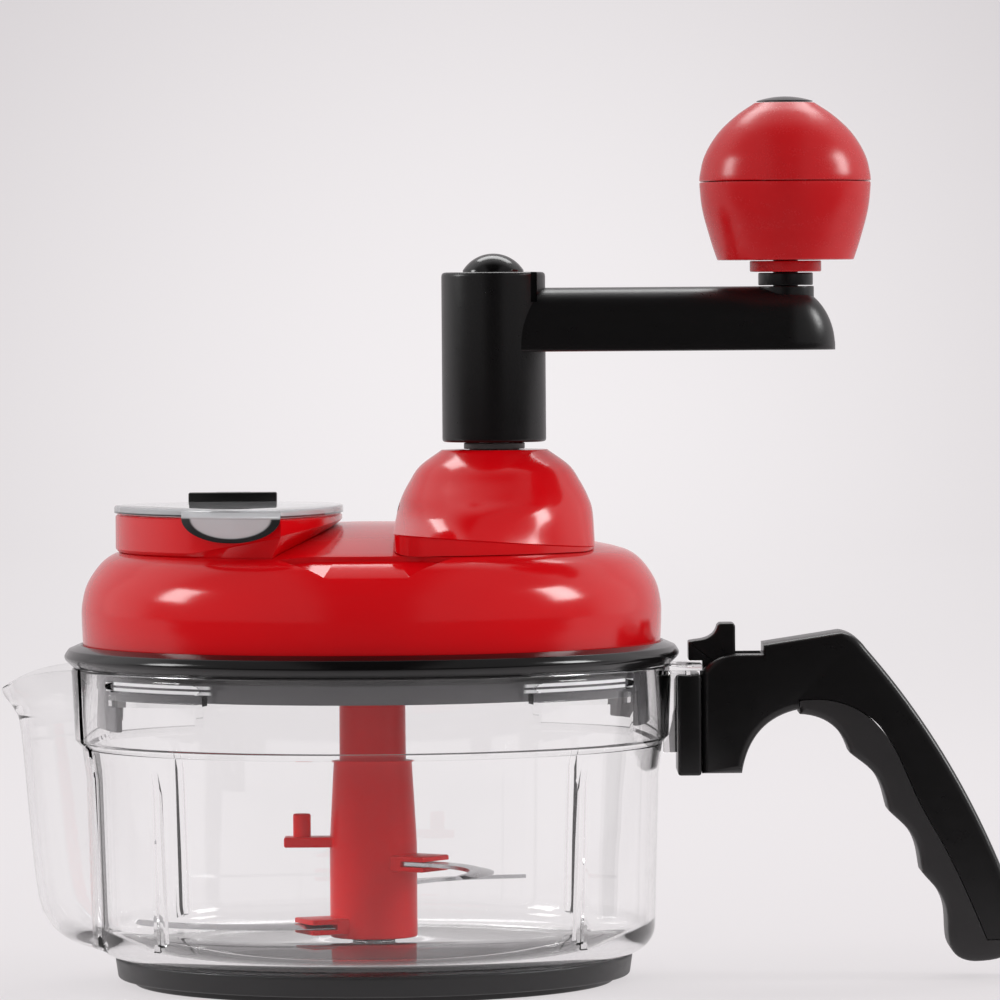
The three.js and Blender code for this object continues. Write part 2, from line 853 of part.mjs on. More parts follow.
// Handle

const fromHandle = ([x, z]) => [handle.near + x, bowl.rimHeight + z];

function makeHandleMount() {
  const m = mount;
  const body = block(m.near, m.far, -m.halfWidth, m.halfWidth, m.bottom, m.top);
  const bottom = bracket.bottom - seat;
  const webHalf = bracket.webHalfWidth + seat;
  const capHalf = bracket.capHalfWidth + seat;
  const top = m.top + overrun;
  const web = block(m.near - overrun, bracket.webReach, -webHalf, webHalf, bottom, top);
  const cap = block(bracket.webReach - seat, bracket.capReach + seat, -capHalf, capHalf, bottom, top);
  return cut(body, web, cap, ...handleScrewHoles());
}

const handleScrewHeights = handleScrewDrops.map((drop) => bowl.rimHeight - drop);
const handleScrewHoles = () => handleScrewHeights.map((z) => screwAlongX(z, seat));

// A screw that lies along X from the mount's slot into the handle.
function screwAlongX(height, grow) {
  const face = bracket.capReach + 2 * seat;
  const start = -overrun * Math.sign(grow);
  const head = disc(screw.headRadius + grow, start, screw.headHeight + grow, 0, 0, tinySides);
  const shank = disc(screw.radius + grow, 0, handleScrewLength + grow, 0, 0, tinySides);
  return join(head, shank).rotateY(Math.PI / 2).translate(face, 0, height);
}

// One side of the scalloped grip: grooves between the ridges, each a shallow arch.
function fingerEdge() {
  const [x, z] = fromHandle(handle.archTop);
  const places = ridges.map(fromHandle);
  const points = bend([x, z - handle.notchDrop], fromHandle(firstGroovePull), places[0], grooveSteps);
  for (let g = 0; g < finger.grooves; g++) {
    const [a, b] = [point(places[g]), point(places[g + 1])];
    const along = b.clone().sub(a);
    const out = new THREE.Vector2(-along.y, along.x).normalize();
    for (let i = 1; i <= finger.steps; i++) {
      const t = i / finger.steps;
      const lift = finger.depth * Math.sin(Math.PI * t);
      points.push(a.clone().addScaledVector(along, t).addScaledVector(out, lift));
    }
  }
  return points;
}

function handleOutline() {
  const h = handle;
  const curve = (start, pull, end, steps) => bend(...[start, pull, end].map(fromHandle), steps);
  return [
    point([h.near, mount.bottom]),
    ...curve(h.archFoot, h.archPull, h.archTop, archSteps),
    ...fingerEdge(),
    ...curve(ridges[finger.grooves], h.tipPull, h.tip, curveSteps).slice(1),
    ...curve(h.tip, h.heelPull, h.heel, curveSteps).slice(1),
    ...curve(h.backLow, h.backPull, h.backBend, backSteps),
    ...curve(h.backBend, h.crestPull, h.crest, curveSteps).slice(1),
    point(fromHandle(h.deckEnd)),
    point(fromHandle([h.deckEnd[0], h.deck])),
    ...curve(h.shoulder, h.shoulderPull, [0, h.front], curveSteps),
  ];
}

// The region of the handle on the palm's side of the seam, with the seam moved out by a gap.
function gripRegion(gap) {
  const line = seam.map(fromHandle).map(point);
  const moved = line.map((p, i) => {
    const along = line[Math.min(i + 1, line.length - 1)].clone().sub(line[Math.max(i - 1, 0)]);
    return p.clone().addScaledVector(new THREE.Vector2(-along.y, along.x).normalize(), gap);
  });
  const start = moved[0].clone();
  const left = fromHandle(handle.archTop)[0] - gap;
  const below = fromHandle(handle.tip)[1] - overrun;
  const around = [
    new THREE.Vector2(line[line.length - 1].x, below),
    new THREE.Vector2(left, below),
    new THREE.Vector2(left, start.y),
  ];
  const kept = moved.filter((p) => p.x > left);
  return slab([...kept, ...around], 2 * handle.thickness);
}

function latchSlot() {
  const half = latch.halfWidth + running;
  const [end, bottom] = fromHandle([latch.slotEnd, latch.bottom - running]);
  return block(handle.near - overrun, end, -half, half, bottom, bowl.rimHeight + handle.deckEnd[1] + overrun);
}

function springPocket() {
  const { z, start, end } = latchSpringPlace();
  const radius = latch.springRadius + latch.springWire + running;
  const tunnel = disc(radius, 0, end - start + seat, 0, 0, tinySides);
  return tunnel.rotateY(Math.PI / 2).translate(start, 0, z);
}

function latchSpringPlace() {
  const [start, bottom] = fromHandle([latch.back + seat, latch.bottom]);
  return {
    z: bottom + latch.springRadius + latch.springWire,
    start,
    end: handle.near + latch.slotEnd + latch.travel,
  };
}

function makeHandleBody() {
  const whole = slab(handleOutline(), handle.thickness, handle.bevel);
  return cut(whole, gripRegion(seat), latchSlot(), springPocket(), ...handleScrewHoles());
}

function makeGripInsert() {
  return meet(slab(handleOutline(), handle.thickness, handle.bevel), gripRegion(0));
}

function makeReleaseLatch() {
  const l = latch;
  const humpStart = [l.humpStart, l.humpTop - l.springWire];
  const humpPull = [l.humpStart - l.springWire, l.noseTop + l.springWire];
  const humpEnd = [l.swellStart, l.noseTop + l.springWire / 2];
  const outline = [
    point([l.front, l.bottom]),
    point([l.back, l.bottom]),
    point([l.back, l.humpTop]),
    point([l.humpStart + l.springWire, l.humpTop]),
    ...bend(humpStart, humpPull, humpEnd, curveSteps),
    point([l.nose, l.noseTop]),
    point([l.nose, l.noseBottom]),
    point([l.front, l.noseBottom]),
  ];
  const placed = outline.map((p) => point(fromHandle([p.x, p.y])));
  return slab(placed, 2 * l.halfWidth, l.springWire);
}

// A coil of round wire about the Z axis with its ends cut square.
function coil(radius, wire, bottom, top, turns) {
  const steps = turns * coilStepsPerTurn;
  const rise = top - bottom - 2 * wire;
  const rings = Array.from({ length: steps + 1 }, (_, i) => {
    const turn = (2 * Math.PI * i) / coilStepsPerTurn;
    const z = bottom + wire + (rise * i) / steps;
    return Array.from({ length: coilSides }, (_, k) => {
      const a = (2 * Math.PI * k) / coilSides;
      const r = radius + wire * Math.cos(a);
      return new THREE.Vector3(r * Math.cos(turn), r * Math.sin(turn), z + wire * Math.sin(a));
    });
  });
  return lofted(rings);
}

function makeLatchSpring() {
  const { z, start, end } = latchSpringPlace();
  return coil(latch.springRadius, latch.springWire / 2, 0, end - start, latchSpringTurns)
    .rotateY(Math.PI / 2)
    .translate(start, 0, z);
}

// Lid

function lidHeight(radius) {
  const share = (radius / lid.rimTop) ** 2;
  return lid.crown - (lid.crown - lid.rimTopHeight) * share;
}

// The lid's outer line from its seat up to the crown, drawn in by some thickness.
function lidOutside(inward, bottom) {
  const l = lid;
  const crown = lidCrownShares.map((share) => [l.rimTop * share, lidHeight(l.rimTop * share) - inward]);
  const drawn = [
    [l.seatRadius, bottom],
    [l.sideRadius, l.sideTop],
    [l.shoulderRadius, l.shoulderHeight],
    [l.bendRadius, l.bendHeight],
    [l.brow, l.browHeight],
    [l.rimTop, l.rimTopHeight],
  ];
  const moved = drawn.map(([r, z], i) => [
    r - inward * lidInwardShares[i],
    z - inward * lidDownwardShares[i],
  ]);
  return [...moved, ...crown];
}

// The chute's plan outline: round behind, following the lid's shoulder in front, with a blunt nose.
function feedPlan(left, right, nose, reach) {
  const radius = (right - left) / 2;
  const start = Math.atan2(-Math.sqrt(reach ** 2 - left ** 2), left);
  const tip = [nose, -Math.sqrt(reach ** 2 - nose ** 2)];
  const pull = [right, tip[1] + feed.sidePull];
  return [
    ...arc(left + radius, feed.y, radius, 0, Math.PI, planBackSteps),
    ...arc(0, 0, reach, start, Math.atan2(tip[1], nose), planFrontSteps),
    ...bend(tip, pull, [right, feed.y], grooveSteps).slice(1, -1),
  ];
}

// A closed plan outline moved in by some distance, or out by a negative one.
function inset(points, distance) {
  return points.map((p, i) => {
    const before = points[(i + points.length - 1) % points.length];
    const after = points[(i + 1) % points.length];
    const along = after.clone().sub(before).normalize();
    return new THREE.Vector2(p.x - along.y * distance, p.y + along.x * distance);
  });
}

const atHeight = (points, height) => points.map((p) => new THREE.Vector3(p.x, p.y, height));

function feedLow(inward) {
  const f = feed;
  return inset(feedPlan(f.lowLeft, f.lowRight, f.lowRight - f.lowNoseIn, f.lowReach), inward);
}

function feedHigh(inward) {
  const f = feed;
  return inset(feedPlan(f.highLeft, f.highRight, f.highRight - f.highNoseIn, f.highReach), inward);
}

// The mouth's lower edge: level at the left, then climbing toward the dome.
function feedEdge(points) {
  const start = feed.highLeft + feed.edgeStart;
  return points.map((p) => {
    const share = THREE.MathUtils.clamp((p.x - start) / (feed.highRight - start), 0, 1);
    return new THREE.Vector3(p.x, p.y, lid.crown - feed.edgeDrop + feed.edgeRise * share);
  });
}

// The chute as a solid: straight below, then flaring out to its mouth.
function feedBody(inward, bottom, top) {
  const [low, high] = [feedLow(inward), feedHigh(inward)];
  const straight = [atHeight(low, bottom), atHeight(low, feed.flareBottom)];
  return lofted([...straight, feedEdge(high), atHeight(high, top)]);
}

function postPlaces() {
  return lidPostAngles.map((angle) => [
    lid.postPitchRadius * Math.cos(rad(angle)),
    lid.postPitchRadius * Math.sin(rad(angle)),
  ]);
}

function makeLidShell() {
  const outside = lidOutside(0, lid.bottom);
  const inside = lidOutside(lid.wall, lid.bottom).filter((_, i) => lidInsidePicks.includes(i)).reverse();
  const shell = turned([...outside, ...inside]);
  const boss = disc(lid.bossRadius, lid.bossBottom, lid.crown - lid.wall / 2, 0, 0, tinySides);
  const posts = postPlaces().map(([x, y]) =>
    disc(lid.postRadius, cover.top + seat, lid.browHeight - lid.wall / 2, x, y, tinySides),
  );
  const holeTop = lid.crown - 2 * lid.wall;
  const bossHole = disc(pivot.radius + seat, lid.bossBottom - overrun, holeTop, 0, 0, tinySides);
  const screwHoles = postPlaces().map(([x, y]) =>
    disc(screw.radius + seat, lid.bottom - overrun, lid.bottom + lid.screwDepth, x, y, tinySides),
  );
  const well = disc(dome.wellRadius, lid.bottom, lid.crown + overrun, crankX, crankY);
  const joined = join(shell, boss, ...posts);
  const chuteHole = feedBody(-seat, lid.bottom - overrun, lid.crown + overrun);
  return cut(joined, chuteHole, well, bossHole, ...screwHoles);
}

function makeLidRim() {
  const l = lid;
  const inner = l.skirtRadius - l.skirtWall;
  const seatHeight = l.bottom - seat;
  const body = turned([
    [inner, l.skirtBottom],
    [l.skirtRadius, l.skirtBottom],
    [l.skirtRadius, bowl.rimHeight + seat],
    [bowl.rimRadius - seat, bowl.rimHeight + seat],
    [l.beadRadius, l.beadHeight],
    [l.beadShoulder, l.beadShoulderHeight],
    [l.beadCrest, l.beadCrestHeight],
    [l.seatRadius + seat, l.beadShoulderHeight],
    [l.seatRadius + seat, seatHeight],
    [inner, seatHeight],
  ]);
  return join(body, ...lugAngles.map(lidLug));
}

// A lug that hangs below the skirt and hooks under a ramp inside the bowl's collar.
function lidLug(angle) {
  const inner = lid.skirtRadius - lid.skirtWall;
  const half = lugSpanAngle / 2;
  const steps = lugSteps;
  const rings = Array.from({ length: steps + 1 }, (_, i) => {
    const a = rad(angle - half + (lugSpanAngle * i) / steps);
    return [
      [inner, lid.lugBottom],
      [lid.skirtRadius, lid.lugBottom],
      [lid.skirtRadius, lid.skirtBottom + lid.skirtWall],
      [inner, lid.skirtBottom + lid.skirtWall],
    ].map(([r, z]) => new THREE.Vector3(r * Math.cos(a), r * Math.sin(a), z));
  });
  return lofted(rings);
}

// Plan outline of the band under the gear dome: round behind, straight at the sides, and in front
// following the lid's shoulder between two rounded corners.
function bandPlan(inward) {
  const reach = dome.reach - inward;
  const radius = dome.radius - inward;
  const [left, right] = [crankX - radius, crankX + radius];
  const corner = (x) => [x, -Math.sqrt(reach ** 2 - x ** 2)];
  const onArc = (angle) => [reach * Math.cos(angle), reach * Math.sin(angle)];
  const turn = dome.cornerLength / reach;
  const start = Math.atan2(corner(left)[1], left) + turn;
  const end = Math.atan2(corner(right)[1], right) - turn;
  return [
    ...arc(crankX, crankY, radius, 0, Math.PI, planBackSteps),
    ...bend([left, corner(left)[1] + dome.cornerLength], corner(left), onArc(start), cornerSteps),
    ...arc(0, 0, reach, start, end, planFrontSteps).slice(1, -1),
    ...bend(onArc(end), corner(right), [right, corner(right)[1] + dome.cornerLength], cornerSteps),
  ];
}

// One section of the dome: a circle whose front comes out to the band's plan by some share.
function domeRing(radius, share, height) {
  const plan = bandPlan(0);
  const front = plan.length - planBackSteps - 1;
  return plan.map((p, i) => {
    const past = i - planBackSteps;
    const angle = past <= 0 ? (Math.PI * i) / planBackSteps : Math.PI + (Math.PI * past) / (front + 1);
    const [x, y] = [crankX + radius * Math.cos(angle), crankY + radius * Math.sin(angle)];
    const out = past <= 0 ? 0 : share;
    return new THREE.Vector3(x + (p.x - x) * out, y + (p.y - y) * out, height);
  });
}

// The band's upper edge leans down from the chute's side toward the handle's.
function creaseHeight(x) {
  const share = (x - (crankX - dome.radius)) / (2 * dome.radius);
  return lid.crown - THREE.MathUtils.lerp(dome.creaseLeftDrop, dome.creaseRightDrop, share);
}

function makeGearDome() {
  const d = dome;
  const creaseTop = lid.crown - d.creaseLeftDrop;
  const sections = domeFallShares.map((fall, i) => {
    const radius = d.topRadius + (d.radius - d.topRadius) * domeSpreadShares[i];
    return domeRing(radius, domeFrontShares[i], d.top + (creaseTop - d.top) * fall);
  });
  const crease = bandPlan(0).map((p) => new THREE.Vector3(p.x, p.y, creaseHeight(p.x)));
  const band = bandPlan(d.creaseIn);
  const ledge = band.map((p) => new THREE.Vector3(p.x, p.y, creaseHeight(p.x) - d.creaseIn));
  const body = lofted([...sections, crease, ledge, atHeight(band, lid.bottom + overrun)]);
  const under = turned([...lidOutside(-seat, lid.bottom), [0, lid.bottom]]);
  const cavity = turned(
    [
      [0, lid.bottom],
      [d.wellRadius, lid.bottom],
      [d.wellRadius, d.wellTop],
      [d.cavityTopRadius, d.cavityTop],
      [bush.bodyRadius + d.neckWall, d.cavityTop + d.wall],
      [0, d.cavityTop + d.wall],
    ],
    cavitySides,
  ).translate(crankX, crankY, 0);
  const bore = disc(bush.bodyRadius + seat, d.cavityTop - overrun, d.top + overrun, crankX, crankY);
  return cut(body, under, cavity, bore);
}

function makeFeedChute() {
  const f = feed;
  const bottom = cover.top + seat;
  const inner = feedBody(f.wall, bottom - overrun, f.top + overrun);
  const tower = cut(feedBody(0, bottom, f.top), inner);
  const ears = [-1, 1].map((side) => {
    const [near, far] = [hinge.knuckleHalfWidth + seat, hinge.earReach];
    const x = hinge.x + (side * (near + far)) / 2;
    const half = (far - near) / 2;
    const back = hinge.y + hinge.knuckleRadius;
    const web = block(x - half, x + half, f.back - 2 * f.wall, back, f.top - f.earDepth, feedLid.top - seat);
    return join(web, alongX(hinge.knuckleRadius, half, x));
  });
  const room = feedPlate(feedLid.overhang + running, f.top, hinge.z + overrun);
  const pinHole = alongX(hinge.pinRadius + seat, hinge.earReach + overrun, hinge.x);
  return cut(join(tower, cut(join(...ears), room, inner)), pinHole);
}

function makeGearCover() {
  const c = cover;
  const top = c.top;
  const plate = disc(c.radius, c.bottom, top, 0, 0, roundSides);
  const boss = disc(c.bossRadius, c.bottom, c.bossTop, crankX, crankY);
  const ribOuter = c.radius - 2 * c.ribWidth;
  const rib = ring(ribOuter, ribOuter - c.ribWidth, c.bottom, top + c.ribHeight, 0, 0, knobSides);
  const bore = disc(shaft.radius + running, shaft.bottom - seat, c.bossTop + overrun, crankX, crankY);
  const bushRadius = pinion.hubRadius + running + pinion.bushWall;
  const bushHole = disc(bushRadius + seat, c.bottom - overrun, top + overrun);
  const opening = feedBody(feed.wall, c.bottom - overrun, feed.flareBottom);
  const holes = postPlaces().map(([x, y]) =>
    disc(screw.radius + seat, c.bottom - overrun, top + overrun, x, y, tinySides),
  );
  const posts = postPlaces().map(([x, y]) =>
    disc(lid.postRadius + seat, top, top + c.ribHeight + overrun, x, y, tinySides),
  );
  const room = feedBody(-seat, top, feed.flareBottom);
  return cut(join(plate, boss, cut(rib, ...posts, room)), bore, bushHole, opening, ...holes);
}

function makeCoverScrew([x, y]) {
  const bottom = cover.bottom - seat;
  const head = disc(screw.headRadius, bottom - screw.headHeight, bottom, x, y, tinySides);
  const shank = disc(screw.radius, bottom - seat, lid.bottom + lid.screwDepth - seat, x, y, tinySides);
  const half = screw.headRadius;
  const slotTop = bottom - screw.headHeight / 2;
  const slot = block(x - half, x + half, y - seat, y + seat, slotTop - overrun, slotTop);
  return cut(join(head, shank), slot);
}

function makeCrankBushing() {
  const b = bush;
  const bottom = dome.cavityTop;
  const inner = shaft.radius + running;
  return turned(
    [
      [inner, bottom],
      [b.bodyRadius, bottom],
      [b.bodyRadius, dome.top + seat],
      [b.flangeRadius, dome.top + seat],
      [b.flangeRadius, b.flangeTop],
      [inner, b.flangeTop],
    ],
    smallSides,
  ).translate(crankX, crankY, 0);
}

function makePinionBushing() {
  const inner = pinion.hubRadius + running;
  const outer = inner + pinion.bushWall;
  const top = cover.top + seat;
  return turned(
    [
      [inner, cover.bottom],
      [outer, cover.bottom],
      [outer, top],
      [outer + pinion.bushWall, top],
      [outer + pinion.bushWall, top + pinion.bushFlange],
      [inner, top + pinion.bushFlange],
    ],
    smallSides,
  );
}

function makePinionPin() {
  const [bottom, top] = [pinion.socketTop + 2 * lid.wall, lid.crown - 2 * lid.wall - seat];
  return disc(pivot.radius, bottom, top, 0, 0, tinySides);
}

// Feed cover

function feedPlate(grow, bottom, top, edge = 0) {
  const side = [atHeight(feedHigh(-grow), bottom), atHeight(feedHigh(-grow), top - edge)];
  return lofted(edge > 0 ? [...side, atHeight(feedHigh(edge - grow), top)] : side);
}

// The tongue that hangs over the chute's front edge, flaring out like a small pouring lip.
function coverLip() {
  const l = feedLid;
  const thick = l.lipThickness;
  const top = l.top - l.edge;
  const inner = feed.highReach + l.overhang;
  const sheet = turned(
    [
      [inner - thick, top],
      [inner - thick, top - thick],
      [inner, top - thick],
      [inner + l.lipFlare, top - l.lipDrop],
      [inner + l.lipFlare + thick, top - l.lipDrop],
      [inner + thick, top - thick],
      [inner, top],
    ],
    lipSides,
  );
  const tongue = arc(0, 0, 1, 0, -Math.PI, planBackSteps).map(
    (p) => new THREE.Vector2(l.lipX + p.x * l.lipHalfWidth, top - thick + p.y * (l.lipDrop - thick)),
  );
  const outline = [
    ...tongue,
    point([l.lipX - l.lipHalfWidth, top + seat]),
    point([l.lipX + l.lipHalfWidth, top + seat]),
  ];
  const depth = feed.highRight - feed.highLeft;
  return meet(sheet, slab(outline, depth).translate(0, -feed.highReach, 0));
}

function makeFeedCover() {
  const l = feedLid;
  const plate = feedPlate(l.overhang, l.bottom, l.top, l.edge);
  const hole = new THREE.CylinderGeometry(1, 1, 2 * overrun, tinySides)
    .rotateX(Math.PI / 2)
    .scale(l.holeHalfWidth, l.holeHalfDepth, 1)
    .translate(l.lipX, l.holeY, l.bottom);
  return cut(join(plate, coverLip()), hole);
}

// The hinge block on the cover: a bar on top of it with one knuckle behind.
function makeHingeBlock() {
  const h = hinge;
  const bottom = feedLid.top + seat;
  const top = h.z + h.knuckleRadius + h.blockCrown;
  const back = h.y - h.blockGap;
  const bar = block(h.x - h.blockHalfWidth, h.x + h.blockHalfWidth, back - h.blockDepth, back, bottom, top);
  const half = h.knuckleHalfWidth;
  const arm = block(h.x - half, h.x + half, back - h.blockGap, h.y, bottom, top);
  const round = alongX(h.knuckleRadius, h.knuckleHalfWidth, h.x);
  return cut(join(bar, arm, round), alongX(h.pinRadius + seat, h.blockHalfWidth, h.x));
}

// A cylinder on the hinge's axis.
function alongX(radius, half, x) {
  const made = new THREE.CylinderGeometry(radius, radius, 2 * half, tinySides);
  return made.rotateZ(Math.PI / 2).translate(x, hinge.y, hinge.z);
}

function makeCoverHingePin() {
  return alongX(hinge.pinRadius, hinge.earReach, hinge.x);
}

// Gears

// A spur gear's outline with involute flanks; one tooth is centred on the given direction.
function gearOutline(teeth, direction, flankSteps) {
  const pitch = (gears.module * teeth) / 2;
  const baseRadius = pitch * Math.cos(rad(pressureAngle));
  const tip = pitch + addendumShare * gears.module;
  const root = pitch - dedendumShare * gears.module;
  const involute = (a) => Math.tan(a) - a;
  const halfAtPitch = Math.PI / (2 * teeth) - gears.backlash / (2 * pitch);
  const halfAt = (r) => {
    const a = Math.acos(Math.min(1, baseRadius / r));
    return halfAtPitch + involute(rad(pressureAngle)) - involute(a);
  };
  const start = Math.max(root, baseRadius);
  const radii = start > root ? [root] : [];
  for (let i = 0; i <= flankSteps; i++) radii.push(start + ((tip - start) * i) / flankSteps);
  const points = [];
  for (let k = 0; k < teeth; k++) {
    const centre = direction + (2 * Math.PI * k) / teeth;
    for (const r of radii) points.push([r, centre - halfAt(r)]);
    for (const r of [...radii].reverse()) points.push([r, centre + halfAt(r)]);
  }
  return points.map(([r, a]) => new THREE.Vector2(r * Math.cos(a), r * Math.sin(a)));
}

const meshDirection = Math.atan2(-crankY, -crankX);

function makeDriveGear() {
  const d = drive;
  const g = gears;
  const top = g.faceBottom + g.faceWidth;
  const pitch = (g.module * driveTeeth) / 2;
  const rim = pitch - d.rimWall;
  const toothed = raised(gearOutline(driveTeeth, meshDirection, driveFlankSteps), g.faceBottom, top);
  const disk = toothed.translate(crankX, crankY, 0);
  const dish = ring(rim, d.hubRadius, g.faceBottom + g.web, top + overrun, crankX, crankY);
  const holePitch = (rim + d.hubRadius) / 2;
  const holes = Array.from({ length: driveHoles }, (_, i) => {
    const a = (2 * Math.PI * i) / driveHoles;
    const x = crankX + holePitch * Math.cos(a);
    const y = crankY + holePitch * Math.sin(a);
    return disc(d.holeRadius, g.faceBottom - overrun, top + overrun, x, y, tinySides);
  });
  const hub = disc(d.hubRadius, d.hubBottom, d.hubTop, crankX, crankY);
  const bore = disc(shaft.radius + seat, d.hubBottom - overrun, d.hubTop + overrun, crankX, crankY);
  return cut(join(cut(disk, dish, ...holes), hub), bore);
}

function makePinionGear() {
  const p = pinion;
  const toothAngle = meshDirection + Math.PI + Math.PI / pinionTeeth;
  const toothed = raised(gearOutline(pinionTeeth, toothAngle, pinionFlankSteps), p.faceBottom, p.faceTop);
  const hub = disc(p.hubRadius, p.hubBottom, p.faceBottom + seat);
  const socket = hexagon(p.socketRadius, p.hubBottom - overrun, p.socketTop);
  const bore = disc(pivot.radius + running, p.socketTop - seat, p.faceTop + overrun, 0, 0, tinySides);
  return cut(join(toothed, hub), socket, bore);
}

// Crank

function makeCrankShaft() {
  const s = shaft;
  const round = disc(s.radius, s.bottom, s.hexBottom, crankX, crankY);
  return join(round, hexagon(s.hexRadius, s.hexBottom - seat, s.top, crankX, crankY));
}

function makeShaftClip() {
  const bottom = drive.hubTop + seat;
  const whole = ring(clip.radius, shaft.radius + seat, bottom, bottom + clip.thickness, crankX, crankY);
  const mouth = shaft.radius / 2;
  const far = crankX + clip.radius + overrun;
  return cut(whole, block(crankX, far, crankY - mouth, crankY + mouth, bottom - overrun, bottom + overrun));
}

// The arm: flat below, its rounded back rising straight from the edges, and its end falling away
// in a quarter round.
function armBody() {
  const c = crank;
  const end = crankX + c.reach + c.overhang;
  const shares = arc(0, 0, 1, 0, Math.PI / 2, armEndSteps).map((p) => p.y);
  const section = (x, share) => {
    const fade = Math.max(armTipShare, Math.sqrt(1 - share ** 2));
    const half = c.armHalfWidth * fade;
    const height = c.armHeight * THREE.MathUtils.lerp(armEndShare, 1, fade);
    return arc(0, 0, 1, 0, Math.PI, armTopSteps).map((p) => {
      const y = -half * Math.sign(p.x) * Math.abs(p.x) ** armPowerShare;
      return new THREE.Vector3(x, crankY + y, c.armBottom + height * Math.abs(p.y) ** armPowerShare);
    });
  };
  const rings = shares.map((share) => section(end - c.overhang * (1 - share), share));
  return lofted([section(crankX, 0), ...rings]);
}

function makeCrankArm() {
  const c = crank;
  const sleeve = turned(
    [
      [0, c.bottom],
      [c.radius - c.edge, c.bottom],
      [c.radius, c.bottom + c.edge],
      [c.radius, c.top - c.edge],
      [c.radius - c.edge, c.top],
      [0, c.top],
    ],
    knobSides,
  ).translate(crankX, crankY, 0);
  const cavity = ring(c.radius - c.wall, c.socketRadius, c.bottom - overrun, c.cavityTop, crankX, crankY);
  const socket = hexagon(shaft.hexRadius + seat, c.bottom - overrun, shaft.top + seat, crankX, crankY);
  const buttonBore = disc(c.buttonBore, c.boreBottom, c.top + overrun, crankX, crankY);
  const notch = block(
    crankX + c.notchNear,
    crankX + c.notchFar,
    crankY - c.radius - overrun,
    crankY - c.notchInner,
    c.top - c.notchDepth,
    c.top + overrun,
  );
  const knobX = crankX + c.reach;
  const boss = disc(knob.spindleRadius + seat, c.armBottom + c.wall, c.armTop, knobX, crankY);
  const pinHole = disc(knob.pinRadius + seat, knob.tail - seat, c.armTop + overrun, knobX, crankY, tinySides);
  return cut(join(sleeve, armBody(), boss), cavity, socket, buttonBore, pinHole, notch);
}

function makeReleaseButton() {
  const b = button;
  const bottom = crank.top + b.rimHeight;
  const sphere = (b.radius ** 2 + b.rise ** 2) / (2 * b.rise);
  const centre = bottom + b.rise - sphere;
  const capArc = arc(0, centre, sphere, Math.atan2(bottom - centre, b.radius), Math.PI / 2, curveSteps);
  const profile = [
    [0, b.bottom],
    [spring.radius + spring.wire, b.bottom],
    [spring.radius + spring.wire, bottom - crank.edge - b.travel * 2],
    [b.radius, bottom - b.travel * 2],
    [b.radius, bottom],
    ...capArc.slice(1, -1).map((p) => [p.x, p.y]),
    [0, bottom + b.rise],
  ];
  return turned(profile, smallSides).translate(crankX, crankY, 0);
}

function makeButtonSpring() {
  const wire = spring.wire / 2;
  const bottom = crank.boreBottom + seat;
  return coil(spring.radius, wire, bottom, button.bottom - seat, springTurns).translate(crankX, crankY, 0);
}

// Knob

function knobPiece(profile, sides = smallSides) {
  return turned(profile, sides).translate(crankX + crank.reach, crankY, 0);
}

function makeKnobSpindle() {
  const k = knob;
  return knobPiece(
    [
      [0, k.tail],
      [k.pinRadius, k.tail],
      [k.pinRadius, k.flange],
      [k.spindleRadius, k.flange],
      [k.spindleRadius, k.spindleTop],
      [k.pinRadius, k.spindleTop],
      [k.pinRadius, k.capTop - 2 * k.wall],
      [0, k.capTop - 2 * k.wall],
    ],
    smallSides,
  );
}

function makeKnobCollar() {
  const k = knob;
  const inner = k.pinRadius + running;
  const bottom = k.spindleTop + seat;
  return knobPiece([
    [inner, bottom],
    [k.collarRadius, bottom],
    [k.collarRadius, k.collarTop],
    [inner, k.collarTop],
  ]);
}

// One half of the knob: a shell with a tube round the spindle, open at the parting line.
function makeKnobHalf(rises, radii, closedAt) {
  const k = knob;
  const heights = rises.map((rise) => k.bottom + rise);
  const inner = k.pinRadius + running;
  const outline = heights.map((z, i) => [radii[i], z]);
  const open = closedAt === "bottom" ? heights[heights.length - 1] : heights[0];
  const closed = closedAt === "bottom" ? heights[0] + k.wall : heights[heights.length - 1] - 2 * k.wall;
  const order = closedAt === "bottom" ? 1 : -1;
  const outside = order > 0 ? outline : [...outline].reverse();
  const inside = outside
    .filter(([, z], i) => (z - closed) * order > k.wall && (i % 2 === 1 || z === open))
    .map(([r, z]) => [r - k.wall, z])
    .reverse();
  return knobPiece(
    [
      [inner, outside[0][1]],
      ...outside,
      ...inside,
      [Math.min(inside[inside.length - 1][0], outside[1][0] - k.wall), closed],
      [k.hubRadius, closed],
      [k.hubRadius, open],
      [inner, open],
    ],
    knobSides,
  );
}

function makeKnobUpper() {
  return makeKnobHalf(knobHighRises, knobHighRadii, "top");
}

function makeKnobLower() {
  return makeKnobHalf(knobLowRises, knobLowRadii, "bottom");
}

function makeKnobCap() {
  const k = knob;
  const edge = [k.capRadius, k.capBottom + seat];
  const lens = bend(edge, [k.capRadius / 2, k.capTop], [0, k.capTop], curveSteps);
  return knobPiece([[0, k.capBottom], [k.capRadius, k.capBottom], ...lens.map((p) => [p.x, p.y])]);
}

// Blades

